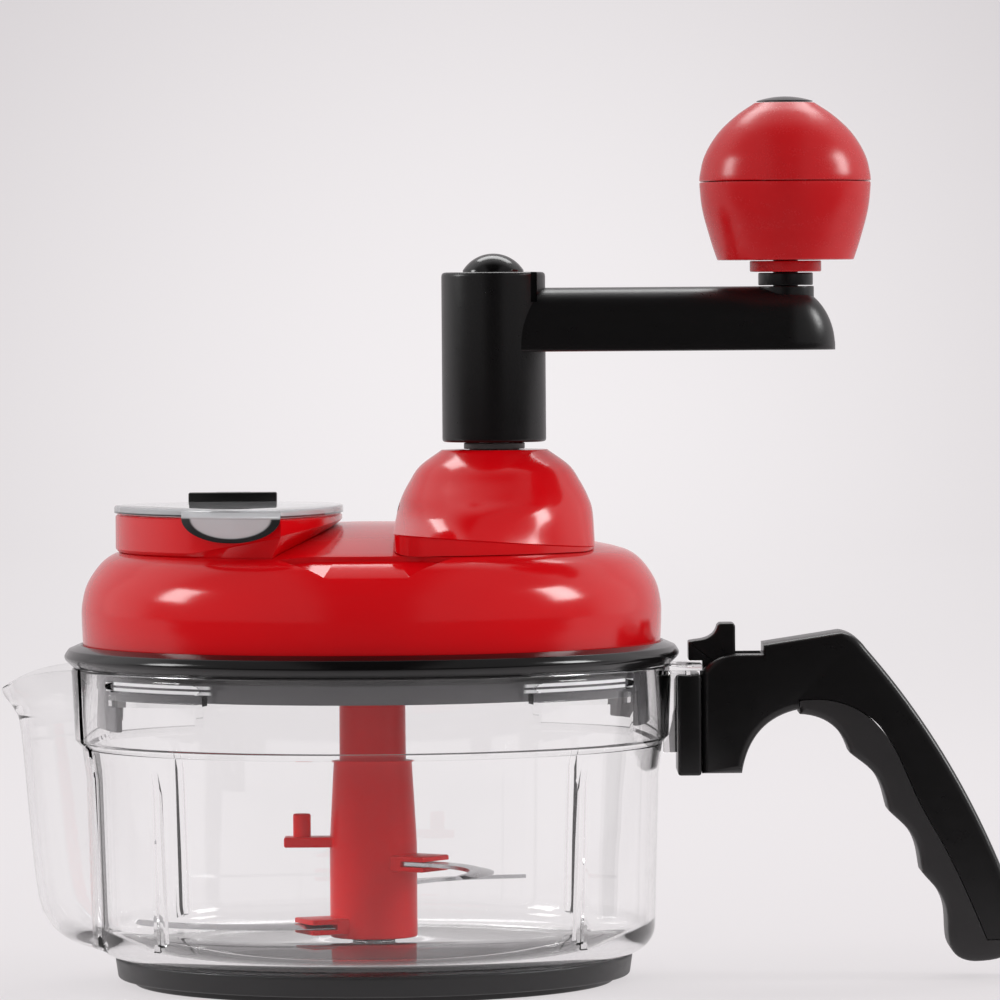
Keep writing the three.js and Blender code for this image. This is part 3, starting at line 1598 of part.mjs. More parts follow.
function makeBladeStem() {
  const s = stem;
  const body = turned(
    [
      [0, s.bottom],
      [s.hubRadius, s.bottom],
      [s.hubRadius, s.hubTop],
      [s.waistRadius, s.waistHeight],
      [s.flangeRadius, s.waistHeight],
      [s.flangeRadius, s.waistHeight + seat],
      [s.topRadius, s.waistHeight + seat],
      [s.topRadius, s.top],
      [0, s.top],
    ],
    smallSides,
  );
  const hex = hexagon(s.hexRadius, s.top - seat, s.hexTop);
  const arm = join(
    block(-s.armReach, 0, -s.armHalfWidth, s.armHalfWidth, s.armBottom, s.armBottom + s.armThickness),
    disc(s.pegRadius, s.armBottom, s.armBottom + s.armThickness + s.pegHeight, -s.pegReach, 0, tinySides),
  );
  const lugs = bladeHeights.map((height, i) => {
    const z = height + (blade.thickness - s.lugHeight) / 2;
    const lug = block(0, s.lugReach, -s.lugHalfWidth, s.lugHalfWidth, z, z + s.lugHeight);
    return lug.rotateZ(rad(bladeAngles[i]));
  });
  const slots = bladeHeights.map((height, i) =>
    block(
      blade.rootRadius - seat,
      s.lugReach + overrun,
      -s.lugHalfWidth - overrun,
      s.lugHalfWidth + overrun,
      height - seat,
      height + blade.thickness + seat,
    ).rotateZ(rad(bladeAngles[i])),
  );
  const bore = disc(pivot.radius + running, s.bottom - overrun, pivot.top + 2 * running, 0, 0, tinySides);
  return cut(join(body, hex, arm, ...lugs), bore, ...slots);
}

// A blade swept back along a curve, ground to an edge on its leading side.
function makeBlade(index) {
  const b = blade;
  const bottom = bladeHeights[index];
  const rings = Array.from({ length: bladeSteps + 1 }, (_, i) => {
    const t = i / bladeSteps;
    const radius = b.rootRadius + (b.tipRadius - b.rootRadius) * t;
    const sweep = rad(bladeAngles[index] - bladeSweepAngle * t ** bladeSweepShare);
    const lean = sweep - rad(bladeSweepAngle) * bladeLeanShare * t;
    const middle = new THREE.Vector2(radius * Math.cos(sweep), radius * Math.sin(sweep));
    const across = new THREE.Vector2(-Math.sin(lean), Math.cos(lean));
    const half = (b.rootWidth + (b.tipWidth - b.rootWidth) * t ** bladeTaperShare) / 2;
    const grind = Math.min(b.grind, 2 * half * bladeGrindShare);
    return [
      [-half, 0],
      [half, 0],
      [half, b.edge],
      [half - grind, b.thickness],
      [-half, b.thickness],
    ].map(([v, z]) => {
      const p = middle.clone().addScaledVector(across, v);
      return new THREE.Vector3(p.x, p.y, bottom + z);
    });
  });
  return lofted(rings);
}

const group = new THREE.Group();

function add(name, geometry, { color, roughness, metalness = 0, opacity = 1 }) {
  const shown = geometry.index ? geometry.toNonIndexed() : geometry;
  shown.computeVertexNormals();
  const material = new THREE.MeshStandardMaterial({ color, roughness, metalness, opacity });
  material.transparent = opacity < 1;
  const mesh = new THREE.Mesh(shown, material);
  mesh.name = name;
  group.add(mesh);
}

const redPlastic = { color: 0xd0141c, roughness: 0.3 };
const blackPlastic = { color: 0x1c1a1b, roughness: 0.42 };
const softGrip = { color: 0x242223, roughness: 0.65 };
const baseRubber = { color: 0x3a3839, roughness: 0.6 };
const clearPlastic = { color: 0xeef2f4, roughness: 0.06, opacity: 0.3 };
const smokyPlastic = { color: 0x9da3a6, roughness: 0.1, opacity: 0.5 };
const whitePlastic = { color: 0xe9e7e0, roughness: 0.45 };
const steel = { color: 0xc8cbce, roughness: 0.25, metalness: 1 };

add("base_pad", makeBasePad(), baseRubber);
add("bowl", makeBowl(), clearPlastic);
add("pivot_pin", makePivotPin(), steel);
add("handle_mount", makeHandleMount(), blackPlastic);
add("handle_body", makeHandleBody(), blackPlastic);
add("grip_insert", makeGripInsert(), softGrip);
handleScrewHeights.forEach((z, i) => add("handle_screw_" + (i + 1), screwAlongX(z, 0), steel));
add("release_latch", makeReleaseLatch(), blackPlastic);
add("latch_spring", makeLatchSpring(), steel);
add("lid_rim", makeLidRim(), blackPlastic);
add("lid_shell", makeLidShell(), redPlastic);
add("gear_dome", makeGearDome(), redPlastic);
add("feed_chute", makeFeedChute(), redPlastic);
add("gear_cover", makeGearCover(), blackPlastic);
postPlaces().forEach((place, i) => add("cover_screw_" + (i + 1), makeCoverScrew(place), steel));
add("crank_bushing", makeCrankBushing(), blackPlastic);
add("pinion_bushing", makePinionBushing(), whitePlastic);
add("pinion_pin", makePinionPin(), steel);
add("feed_cover", makeFeedCover(), smokyPlastic);
add("hinge_block", makeHingeBlock(), blackPlastic);
add("cover_hinge_pin", makeCoverHingePin(), steel);
add("crank_shaft", makeCrankShaft(), steel);
add("drive_gear", makeDriveGear(), whitePlastic);
add("shaft_clip", makeShaftClip(), steel);
add("pinion_gear", makePinionGear(), whitePlastic);
add("crank_arm", makeCrankArm(), blackPlastic);
add("release_button", makeReleaseButton(), blackPlastic);
add("button_spring", makeButtonSpring(), steel);
add("knob_spindle", makeKnobSpindle(), blackPlastic);
add("knob_collar", makeKnobCollar(), redPlastic);
add("knob_lower", makeKnobLower(), redPlastic);
add("knob_upper", makeKnobUpper(), redPlastic);
add("knob_cap", makeKnobCap(), blackPlastic);
add("blade_stem", makeBladeStem(), redPlastic);
["blade_lower", "blade_middle", "blade_upper"].forEach((name, i) => add(name, makeBlade(i), steel));

export default group;
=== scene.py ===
import bpy
import bmesh
import json
from math import atan2, copysign, cos, pi, radians, sin, sqrt, tan
from mathutils import Matrix, Vector

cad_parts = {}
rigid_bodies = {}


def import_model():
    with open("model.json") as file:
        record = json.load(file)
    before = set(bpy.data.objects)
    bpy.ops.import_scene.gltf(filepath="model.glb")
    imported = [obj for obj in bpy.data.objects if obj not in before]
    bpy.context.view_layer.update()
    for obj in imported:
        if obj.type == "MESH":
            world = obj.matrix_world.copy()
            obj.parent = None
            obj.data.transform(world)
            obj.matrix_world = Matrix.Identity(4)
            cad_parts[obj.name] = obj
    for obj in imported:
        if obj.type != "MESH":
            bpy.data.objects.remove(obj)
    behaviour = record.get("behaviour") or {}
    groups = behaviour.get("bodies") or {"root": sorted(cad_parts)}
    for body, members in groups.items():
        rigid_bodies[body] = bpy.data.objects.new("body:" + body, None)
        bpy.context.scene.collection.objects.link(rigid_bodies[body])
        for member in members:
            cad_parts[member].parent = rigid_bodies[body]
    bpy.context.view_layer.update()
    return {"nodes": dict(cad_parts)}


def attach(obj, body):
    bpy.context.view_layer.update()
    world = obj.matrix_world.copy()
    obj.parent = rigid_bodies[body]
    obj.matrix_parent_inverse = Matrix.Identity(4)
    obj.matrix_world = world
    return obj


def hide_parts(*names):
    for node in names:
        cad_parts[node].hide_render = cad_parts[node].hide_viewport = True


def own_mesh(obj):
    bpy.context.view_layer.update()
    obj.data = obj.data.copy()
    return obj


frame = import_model()
mm = 0.001
scene = bpy.context.scene
print("frame loaded:", len(frame["nodes"]), "solids")


# a dictionary whose values can be read as attributes
class Settings(dict):
    __getattr__ = dict.__getitem__


shared = Settings(
    gap=0.3,          # between pieces that touch
    overrun=3,        # how far a cutter runs past
    sides=144,        # of what is turned, unless it is small or wide
    smallSides=48, midSides=96, wideSides=192, fineSides=288,
    filletSteps=4,
    cornerShare=0.48,  # of a side's length, the most that its fillet takes
    coilSteps=24, wireSides=12,
    weld=2e-6, sliver=1e-6,    # metres
    crease=34,         # degrees, the least angle between faces that shows as an edge
    crankX=40.3,
    crankY=-23.941,
)
gap = shared.gap
overrun = shared.overrun
crankPlace = (shared.crankX, shared.crankY)


# mesh helpers (all lengths in mm until the mesh is made)

def linked(name, data):
    obj = bpy.data.objects.new(name, data)
    scene.collection.objects.link(obj)
    return obj


def meshFrom(name, points, faces):
    mesh = bpy.data.meshes.new(name)
    mesh.from_pydata([Vector(p) * mm for p in points], [], faces)
    return linked(name, mesh)


def tidied(obj):
    work = bmesh.new()
    work.from_mesh(obj.data)
    bmesh.ops.remove_doubles(work, verts=work.verts, dist=shared.weld)
    bmesh.ops.dissolve_degenerate(work, edges=work.edges, dist=shared.sliver)
    bmesh.ops.recalc_face_normals(work, faces=work.faces)
    work.to_mesh(obj.data)
    work.free()
    return obj


# the evaluated mesh takes the place of the object's own, and its modifiers go
def baked(obj):
    bpy.context.view_layer.update()
    graph = bpy.context.evaluated_depsgraph_get()
    mesh = bpy.data.meshes.new_from_object(obj.evaluated_get(graph))
    old = obj.data
    obj.modifiers.clear()
    obj.data = mesh
    bpy.data.meshes.remove(old)
    mesh.name = obj.name
    return obj


def moved(obj, x=0, y=0, z=0, turn=0, axis="Z"):
    obj.data.transform(
        Matrix.Translation(Vector((x, y, z)) * mm) @ Matrix.Rotation(radians(turn), 4, axis))
    return obj


def copyOf(obj):
    return linked(obj.name + "Twin", obj.data.copy())


def combined(obj, *tools, operation="UNION", keep=False):
    for tool in tools:
        change = obj.modifiers.new("combine", "BOOLEAN")
        change.operation = operation
        change.solver = "MANIFOLD"
        change.object = tool
        baked(obj)
        if not keep:
            bpy.data.objects.remove(tool)
    return obj


def carved(obj, *tools, keep=False):
    return combined(obj, *tools, operation="DIFFERENCE", keep=keep)


def softened(obj, width, angle=35, segments=2):
    edge = obj.modifiers.new("edge", "BEVEL")
    edge.width = width * mm
    edge.segments = segments
    edge.limit_method = "ANGLE"
    edge.angle_limit = radians(angle)
    return baked(tidied(obj))


# corners given as (x, y, fillet) become arcs
def rounded(points, closed=False):
    line = []
    count = len(points)
    for i, p in enumerate(points):
        here = Vector(p[:2])
        fillet = p[2] if len(p) > 2 else 0
        inside = closed or 0 < i < count - 1
        if not fillet or not inside:
            line.append(here)
            continue
        back = Vector(points[i - 1][:2]) - here
        on = Vector(points[(i + 1) % count][:2]) - here
        half = back.angle(on) / 2
        reach = min(
            fillet / tan(half), back.length * shared.cornerShare, on.length * shared.cornerShare)
        line += bend(
            here + back.normalized() * reach, here, here + on.normalized() * reach, shared.filletSteps)
    return line


# evenly spaced values, both ends among them
def spaced(start, end, steps):
    return [start + (end - start) * i / steps for i in range(steps + 1)]


def bend(start, pull, end, steps=16):
    a, b, c = Vector(start), Vector(pull), Vector(end)
    return [a * (1 - t) ** 2 + b * 2 * t * (1 - t) + c * t ** 2 for t in spaced(0, 1, steps)]


def polar(radius, angle, x=0, y=0):
    return (x + radius * cos(angle), y + radius * sin(angle))


def arc(x, y, radius, start, end, steps):
    return [Vector(polar(radius, a, x, y)) for a in spaced(start, end, steps)]


# an open line moved sideways by a distance
def shifted(line, distance):
    out = []
    for i, p in enumerate(line):
        along = (line[min(i + 1, len(line) - 1)] - line[max(i - 1, 0)]).normalized()
        out.append(p + Vector((-along.y, along.x)) * distance)
    return out


# a smooth line through every point
def through(points, steps=6):
    line = [Vector(p) for p in points]
    ends = [line[0] * 2 - line[1]] + line + [line[-1] * 2 - line[-2]]
    out = []
    for i in range(1, len(ends) - 2):
        a, b, c, d = ends[i - 1:i + 3]
        for k in range(steps):
            t = k / steps
            out.append(0.5 * (2 * b + (c - a) * t + (2 * a - 5 * b + 4 * c - d) * t ** 2
                              + (3 * b - a - 3 * c + d) * t ** 3))
    return out + [line[-1]]


def lofted(name, rings):
    size = len(rings[0])
    points = [tuple(p) for ring in rings for p in ring]
    faces = []
    for r in range(len(rings) - 1):
        for i in range(size):
            a, b = r * size + i, r * size + (i + 1) % size
            faces.append((a, b, b + size, a + size))
    last = (len(rings) - 1) * size
    faces += [tuple(range(size)), tuple(range(last, last + size))]
    return tidied(meshFrom(name, points, faces))


def raised(name, outline, bottom, top):
    return lofted(name, [[(p[0], p[1], z) for p in outline] for z in (bottom, top)])


# a bar along an arc, with a section of (radius, height) corners for each angle
def arcBar(name, turns, sections):
    return lofted(
        name, [[(*polar(r, a), z) for r, z in section] for a, section in zip(turns, sections)])


# an outline of (x, z) points given a width along Y, its edges rounded over
def slab(name, outline, width, edge=0):
    places = [(-width / 2, 0), (width / 2, 0)]
    if edge:
        turns = spaced(0, pi / 2, shared.filletSteps)
        low = [(-width / 2 + edge * (1 - cos(a)), edge * (1 - sin(a))) for a in turns]
        places = low + [(-y, d) for y, d in reversed(low)]
    rings = [[(p[0], y, p[1]) for p in drawnIn(outline, d)] for y, d in places]
    return lofted(name, rings)


# a closed outline moved in by a distance
def drawnIn(outline, distance):
    line = [Vector(p) for p in outline]
    area = sum(a.x * b.y - b.x * a.y for a, b in zip(line, line[1:] + line[:1]))
    way = 1 if area > 0 else -1
    out = []
    for i, p in enumerate(line):
        along = (line[(i + 1) % len(line)] - line[i - 1]).normalized()
        out.append(Vector((p.x - along.y * distance * way, p.y + along.x * distance * way)))
    return out


def block(name, x0, x1, y0, y1, z0, z1):
    return raised(name, [(x0, y0), (x1, y0), (x1, y1), (x0, y1)], z0, z1)


def disc(name, radius, bottom, top, x=0, y=0, sides=None, edge=0):
    profile = [(0, bottom), (radius, bottom, edge), (radius, top, edge), (0, top)]
    return turned(name, profile, sides or shared.smallSides, x, y)


# node trees for what is turned, coiled or repeated

def newNode(tree, kind, values, settings):
    made = tree.nodes.new(kind)
    for key, value in settings.items():
        setattr(made, key, value)
    for key, value in values.items():
        socket = getattr(value, "socket", value)
        if isinstance(socket, bpy.types.NodeSocket):
            tree.links.new(socket, made.inputs[key])
        else:
            made.inputs[key].default_value = value
    return made


class Tree:
    def __init__(self, name, inputs):
        self.group = bpy.data.node_groups.new(name, "GeometryNodeTree")
        face = self.group.interface
        face.new_socket("Geometry", in_out="INPUT", socket_type="NodeSocketGeometry")
        self.ids = {}
        for label, kind in inputs.items():
            socket = face.new_socket(label, in_out="INPUT", socket_type="NodeSocket" + kind)
            self.ids[label] = socket.identifier
        face.new_socket("Geometry", in_out="OUTPUT", socket_type="NodeSocketGeometry")
        self.given = self.group.nodes.new("NodeGroupInput").outputs
        self.result = self.group.nodes.new("NodeGroupOutput").inputs["Geometry"]

    def node(self, kind, values, **settings):
        return newNode(self.group, "GeometryNode" + kind, values, settings).outputs

    def close(self, geometry):
        real = self.node("RealizeInstances", {"Geometry": geometry})[0]
        done = self.node("SetMaterial", {"Geometry": real, "Material": self.given["Finish"]})[0]
        self.group.links.new(done, self.result)

    def applied(self, obj, values):
        change = obj.modifiers.new(self.group.name, "NODES")
        change.node_group = self.group
        for label, value in values.items():
            change[self.ids[label]] = value
        return baked(obj)


def makeTurnTree():
    tree = Tree("turnedProfile", {"Sides": "Int", "Finish": "Material"})
    line = tree.node("MeshToCurve", {"Mesh": tree.given["Geometry"]})[0]
    path = tree.node("CurvePrimitiveCircle", {"Resolution": tree.given["Sides"], "Radius": 1.0})[0]
    skin = tree.node("CurveToMesh", {"Curve": path, "Profile Curve": line})[0]
    tree.close(tree.node("MergeByDistance", {"Geometry": skin, "Distance": shared.sliver})[0])
    return tree


def makeCoilTree():
    tree = Tree("coiledWire", {
        "Turns": "Float", "Radius": "Float", "Wire": "Float", "Height": "Float", "Finish": "Material"})
    path = tree.node("CurveSpiral", {
        "Resolution": shared.coilSteps, "Rotations": tree.given["Turns"],
        "Start Radius": tree.given["Radius"], "End Radius": tree.given["Radius"],
        "Height": tree.given["Height"]})[0]
    wire = tree.node(
        "CurvePrimitiveCircle", {"Resolution": shared.wireSides, "Radius": tree.given["Wire"]})[0]
    tree.close(tree.node("CurveToMesh", {"Curve": path, "Profile Curve": wire, "Fill Caps": True})[0])
    return tree


def makeCopyTree():
    tree = Tree("copiesOnPoints", {"Piece": "Object", "Finish": "Material"})
    part = tree.node("ObjectInfo", {"Object": tree.given["Piece"]})["Geometry"]
    spot = tree.node("InputNamedAttribute", {"Name": "turn"}, data_type="FLOAT_VECTOR")[0]
    tree.close(tree.node(
        "InstanceOnPoints", {"Points": tree.given["Geometry"], "Instance": part, "Rotation": spot})[0])
    return tree


turnTree = makeTurnTree()
coilTree = makeCoilTree()
copyTree = makeCopyTree()


# a profile of (radius, height) corners turned about Z; one off the axis closes on itself
def turned(name, profile, sides=None, x=0, y=0, closed=None):
    closed = profile[0][0] > 0 if closed is None else closed
    line = rounded(profile, closed)
    if closed:
        line.append(line[0])
    points = [(p[0] * mm - 1, -p[1] * mm, 0) for p in line]
    mesh = bpy.data.meshes.new(name)
    last = len(points) - 1
    edges = [(i, i + 1) for i in range(last - 1)] + [(last - 1, 0 if closed else last)]
    mesh.from_pydata(points[:last] if closed else points, edges, [])
    obj = turnTree.applied(linked(name, mesh), {"Sides": sides or shared.sides})
    return moved(tidied(obj), x, y)


def coil(name, radius, wire, bottom, top, turns):
    obj = coilTree.applied(meshFrom(name, [], []), {
        "Turns": float(turns), "Radius": radius * mm, "Wire": wire * mm,
        "Height": (top - bottom - 2 * wire) * mm})
    return moved(tidied(obj), z=bottom + wire)


# one mesh of a piece repeated at places, each turned about Z by its own angle
def repeated(name, piece, places, turns):
    obj = meshFrom(name, places, [])
    spin = obj.data.attributes.new("turn", "FLOAT_VECTOR", "POINT")
    for entry, angle in zip(spin.data, turns):
        entry.vector = (0, 0, radians(angle))
    copyTree.applied(obj, {"Piece": piece})
    bpy.data.objects.remove(piece)
    return tidied(obj)


# materials

class Value:
    def __init__(self, finish, socket):
        self.finish = finish
        self.socket = socket

    def maths(self, operation, other=None, swapped=False):
        pair = [self, other] if other is not None else [self]
        if swapped:
            pair.reverse()
        return self.finish.node("Math", dict(enumerate(pair)), operation=operation)[0]

    def __add__(self, other):
        return self.maths("ADD", other)

    def __sub__(self, other):
        return self.maths("SUBTRACT", other)

    def __rsub__(self, other):
        return self.maths("SUBTRACT", other, True)

    def __mul__(self, other):
        return self.maths("MULTIPLY", other)

    def __truediv__(self, other):
        return self.maths("DIVIDE", other)

    def __abs__(self):
        return self.maths("ABSOLUTE")

    __radd__ = __add__
    __rmul__ = __mul__


def highest(value, *others):
    for other in others:
        value = value.maths("MAXIMUM", other)
    return value


class Finish:
    def __init__(self, name, world=False):
        owners = bpy.data.worlds if world else bpy.data.materials
        self.material = owners.new(name)
        self.material.use_nodes = True
        self.tree = self.material.node_tree
        self.tree.nodes.clear()
        kind = "ShaderNodeOutputWorld" if world else "ShaderNodeOutputMaterial"
        self.output = self.tree.nodes.new(kind)
        where = self.node("TexCoord")
        self.place = where["Generated" if world else "Object"]
        self.normal = where["Normal"]

    def node(self, kind, values={}, **settings):
        outputs = newNode(self.tree, "ShaderNode" + kind, values, settings).outputs
        return {**{s.name: Value(self, s) for s in outputs if s.enabled},
                **{i: Value(self, s) for i, s in enumerate(outputs)}}

    def noise(self, size, detail=2.0, stretch=(1, 1, 1)):
        where = self.node("Mapping", {"Vector": self.place, "Scale": stretch})[0]
        return self.node("TexNoise", {"Vector": where, "Scale": 1 / (size * mm), "Detail": detail})[0]

    def parts(self, vector):
        return self.node("SeparateXYZ", {0: vector})

    # the X, Y and Z of the place in mm
    def spot(self):
        scale = [1 / mm] * 3
        return self.parts(self.node("Mapping", {"Vector": self.place, "Scale": scale})[0])

    def blend(self, share, first, second):
        return self.node("Mix", {0: share, 6: first, 7: second}, data_type="RGBA")[2]

    # a share that goes smoothly from 0 to 1 between two values
    def step(self, value, start, end):
        return self.node("MapRange", {"Value": value, "From Min": start, "From Max": end},
                         interpolation_type="SMOOTHSTEP")[0]

    def rays(self, *kinds):
        path = self.node("LightPath")
        return highest(*[path[kind] for kind in kinds])

    # 1 for a ray that has been through clear plastic
    def pastGlass(self):
        return self.step(self.rays("Transmission Depth"), 0, 1)

    def bump(self, height, depth, strength=1.0):
        return self.node("Bump", {"Height": height, "Distance": depth * mm, "Strength": strength})[0]

    def shader(self, values):
        return self.node("BsdfPrincipled", values)[0]

    # the shaders that are no more than a colour
    def flat(self, kind, colour, **values):
        return self.node(kind, {"Color": colour, **values})[0]

    # what is clear gives shadow rays no more than a tint
    def closeClear(self, body, tint):
        ghost = self.flat("BsdfTransparent", tone(*tint))
        return self.close(self.mixed(self.rays("Is Shadow Ray"), body, ghost))

    def mixed(self, share, first, second):
        return self.node("MixShader", {0: share, 1: first, 2: second})[0]

    def close(self, shader):
        self.tree.links.new(shader.socket, self.output.inputs["Surface"])
        return self.material


def tone(red, green, blue, factor=1.0):
    return (min(1, red * factor), min(1, green * factor), min(1, blue * factor), 1)


# sizes in mm, and shares of the colour or the roughness
surface = Settings(
    cloud=35, smear=9, fleck=0.2, fleckLevel=0.1, smearGloss=0.3, grainGloss=0.08, wave=60,
    waveDepth=0.15, waveStrength=0.3, clearSmear=14, clearGloss=0.02, clearDim=0.985,
    # this row holds the white and the roughness of the painted highlights in the bowl's pockets, and
    # the height over which a painted sheen fades in
    matt=(0.93, 0.93, 0.94), mattRoughness=0.5, plasticIndex=1.5, clearIndex=1.49, fade=1,
    grindStretch=0.06, steelCloud=18, grindGloss=0.16, cloudGloss=0.06, steelDark=(0.46, 0.465, 0.47),
    steelPale=(0.62, 0.62, 0.63),
)


# moulded plastic: a fine grain in the surface, faint handling marks in the gloss, and, if asked,
# another colour below a height: a painted sheen
def mouldedPlastic(name, colour, roughness, grain, depth, spread, gleam=0.5, under=None):
    s = surface
    finish = Finish(name)
    fine = finish.noise(grain, 3.0)
    cloud = finish.noise(s.cloud, 2.0)
    smear = finish.noise(s.smear, 3.0, (1, 1, 3))
    shade = finish.blend(cloud, tone(*colour, 1 - spread), tone(*colour, 1 + spread))
    shade = finish.blend((fine - 0.5) * s.fleck + s.fleckLevel, shade, tone(*colour, 1 + 2 * spread))
    # below the given height the colour fades to the given one: a painted sheen
    if under:
        level, paintedSheenTone = under
        shade = finish.blend(
            finish.step(finish.spot()["Z"], level, level - s.fade), shade, tone(*paintedSheenTone))
    gloss = (smear - 0.5) * roughness * s.smearGloss + (fine - 0.5) * s.grainGloss + roughness
    return finish.close(finish.shader({
        "Base Color": shade, "Roughness": gloss, "Normal": finish.bump(fine, depth),
        "Specular IOR Level": gleam, "IOR": s.plasticIndex}))


# clear plastic that lets light through to what it holds, with a painted highlight in white where a mask
# is given
def clearPlastic(name, tint, roughness, shadowShare, paintedHighlight=None):
    s = surface
    finish = Finish(name)
    wave = finish.noise(s.wave, 1.0)
    smear = finish.noise(s.clearSmear, 3.0)
    body = finish.shader({
        "Base Color": finish.blend(smear, tone(*tint), tone(*tint, s.clearDim)),
        "Roughness": (smear - 0.5) * s.clearGloss + roughness, "IOR": s.clearIndex,
        "Transmission Weight": 1.0, "Normal": finish.bump(wave, s.waveDepth, s.waveStrength)})
    # a white diffuse shader mixed in where the mask says: a painted highlight
    if paintedHighlight:
        matt = finish.shader({"Base Color": tone(*s.matt), "Roughness": s.mattRoughness})
        body = finish.mixed(paintedHighlight(finish), body, matt)
    return finish.closeClear(body, shadowShare)


# steel with grinding lines that run one way
def groundSteel(name, roughness, lines, depth):
    s = surface
    finish = Finish(name)
    scratch = finish.noise(lines, 4.0, (1, s.grindStretch, 1))
    cloud = finish.noise(s.steelCloud, 2.0)
    return finish.close(finish.shader({
        "Base Color": finish.blend(scratch, tone(*s.steelDark), tone(*s.steelPale)), "Metallic": 1.0,
        "Normal": finish.bump(scratch, depth), "Roughness": (scratch - 0.5) * s.grindGloss
        + (cloud - 0.5) * s.cloudGloss + roughness}))


redPlastic = mouldedPlastic("redPlastic", (0.6, 0.002, 0.005), 0.15, 0.7, 0.005, 0.03)
redSatin = mouldedPlastic("redSatin", (0.5, 0.002, 0.005), 0.26, 0.6, 0.008, 0.04)
blackPlastic = mouldedPlastic("blackPlastic", (0.0055, 0.005, 0.0052), 0.3, 0.8, 0.012, 0.1)
blackGloss = mouldedPlastic("blackGloss", (0.004, 0.0037, 0.0038), 0.16, 1.2, 0.003, 0.05)
# the lid rim is black, but below z 101 it is painted lighter grey: a painted sheen for the skirt seen
# through the bowl's clear collar
rimBlack = mouldedPlastic(
    "rimBlack", (0.004, 0.0037, 0.0038), 0.16, 1.2, 0.003, 0.05, under=(101, (0.11, 0.107, 0.112)))
stemRed = mouldedPlastic("stemRed", (0.8, 0.001, 0.003), 0.3, 0.6, 0.006, 0.03, 0.18)
softGrip = mouldedPlastic("softGrip", (0.02, 0.0185, 0.019), 0.48, 0.5, 0.025, 0.08)
baseRubber = mouldedPlastic("baseRubber", (0.016, 0.0155, 0.016), 0.42, 0.6, 0.015, 0.06)
gearPlastic = mouldedPlastic("gearPlastic", (0.7, 0.68, 0.62), 0.4, 0.9, 0.01, 0.03)
bushFinish = mouldedPlastic("bushPlastic", (0.16, 0.155, 0.15), 0.4, 0.8, 0.01, 0.05)
bladeSteel = groundSteel("bladeSteel", 0.24, 1.1, 0.01)
plainSteel = groundSteel("plainSteel", 0.3, 0.8, 0.006)
print("materials made")


# gives a finished mesh its body and its material, and hides the solids it stands for
def placed(obj, body, nodes, material, crease=shared.crease):
    mesh = tidied(obj).data
    mesh.materials.clear()
    mesh.materials.append(material)
    mesh.polygons.foreach_set("use_smooth", [True] * len(mesh.polygons))
    mesh.set_sharp_from_angle(angle=radians(crease))
    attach(obj, body)
    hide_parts(*nodes)
    print("piece:", obj.name, len(mesh.polygons), "faces")
    return obj


# base and bowl

base = Settings(foot=78, footTop=2, low=83.2, radius=84.2, height=9, floor=4.5, recess=76)


def makeBase():
    b = base
    ring = turned("baseRing", [
        (0, 0), (b.foot, 0, 0.8), (b.foot, b.footTop, 0.3), (b.low, b.footTop + gap, 0.9),
        (b.radius, b.height, 0.9), (b.recess, b.height, 0.4), (b.recess, b.floor), (0, b.floor)])
    return placed(ring, "bowl_unit", ["base_pad"], baseRubber)


makeBase()

bowl = Settings(
    wall=2.4, footWall=3, corner=9, low=91.6, bellyZ=68, belly=93, ledgeZ=77.4, ledge=94.3,
    collarZ=79.8, collar=96.4, rim=97.5, rimZ=103, boss=7, bossHeight=2.3, ribAngle=42.5, ribWidth=3,
    ribDepth=2.4, ribLow=15, ribHigh=75, rampZ=92.5, rampHeight=4, rampDepth=3.2, rampStart=30,
    rampEnd=57, pin=2.5, pinDepth=1.6, pinTop=40, pocketZ=97.4, pocketHeight=3.4, pocketIn=95.2,
    rampSteps=18, rampShrink=0.4, pocketShrink=1.2, ribTop=9.6, cornerSteps=14, edge=0.7, webEdge=0.35,
    # this row also holds the painted highlights in the pockets: their middle gap, their edges and their
    # fade at the ends
    windowEdge=1.2, frostLine=(0.3, 0.45), frostEdge=(1.5, 1.3), frostFade=1, pinEdge=0.6,
)
spout = Settings(
    rootHalf=30, rootInset=6, windowHalf=11, windowLow=15, windowHigh=74,
    lipTop=95.5, lipDrop=4, flareShare=1.15,
    reach=[(11.6, 89), (15, 99.6), (21, 106), (33.5, 109.8), (80.6, 114.2), (89, 116.3),
           (94.5, 120), (103, 122.5)],
    steps=48, levels=6,
)
bracket = Settings(flange=107, flangeHalf=14, flangeZ=101, webHalf=5, web=101.8, capHalf=10, cap=103.4,
                   bottom=74, root=94.6)
floorZ = base.height + gap


# the pockets above the ramps get a painted highlight in white, but for a line along their middle
def pocketHighlights(finish):
    b = bowl
    middle = b.pocketZ + b.pocketHeight / 2
    low, high = [b.rim * sin(radians(b[end])) for end in ("rampStart", "rampEnd")]
    spot = finish.spot()
    side, height = abs(spot["Y"]), abs(spot["Z"] - middle)
    along = finish.step(side, low, low + b.frostFade) * finish.step(side, high, high - b.frostFade)
    return along * finish.step(height, *b.frostLine) * finish.step(height, *b.frostEdge)


# the bowl is clear, with painted highlights in the pockets above its ramps
clearBody = clearPlastic("clearBody", (1, 1, 1), 0.012, (0.94, 0.945, 0.95), pocketHighlights)


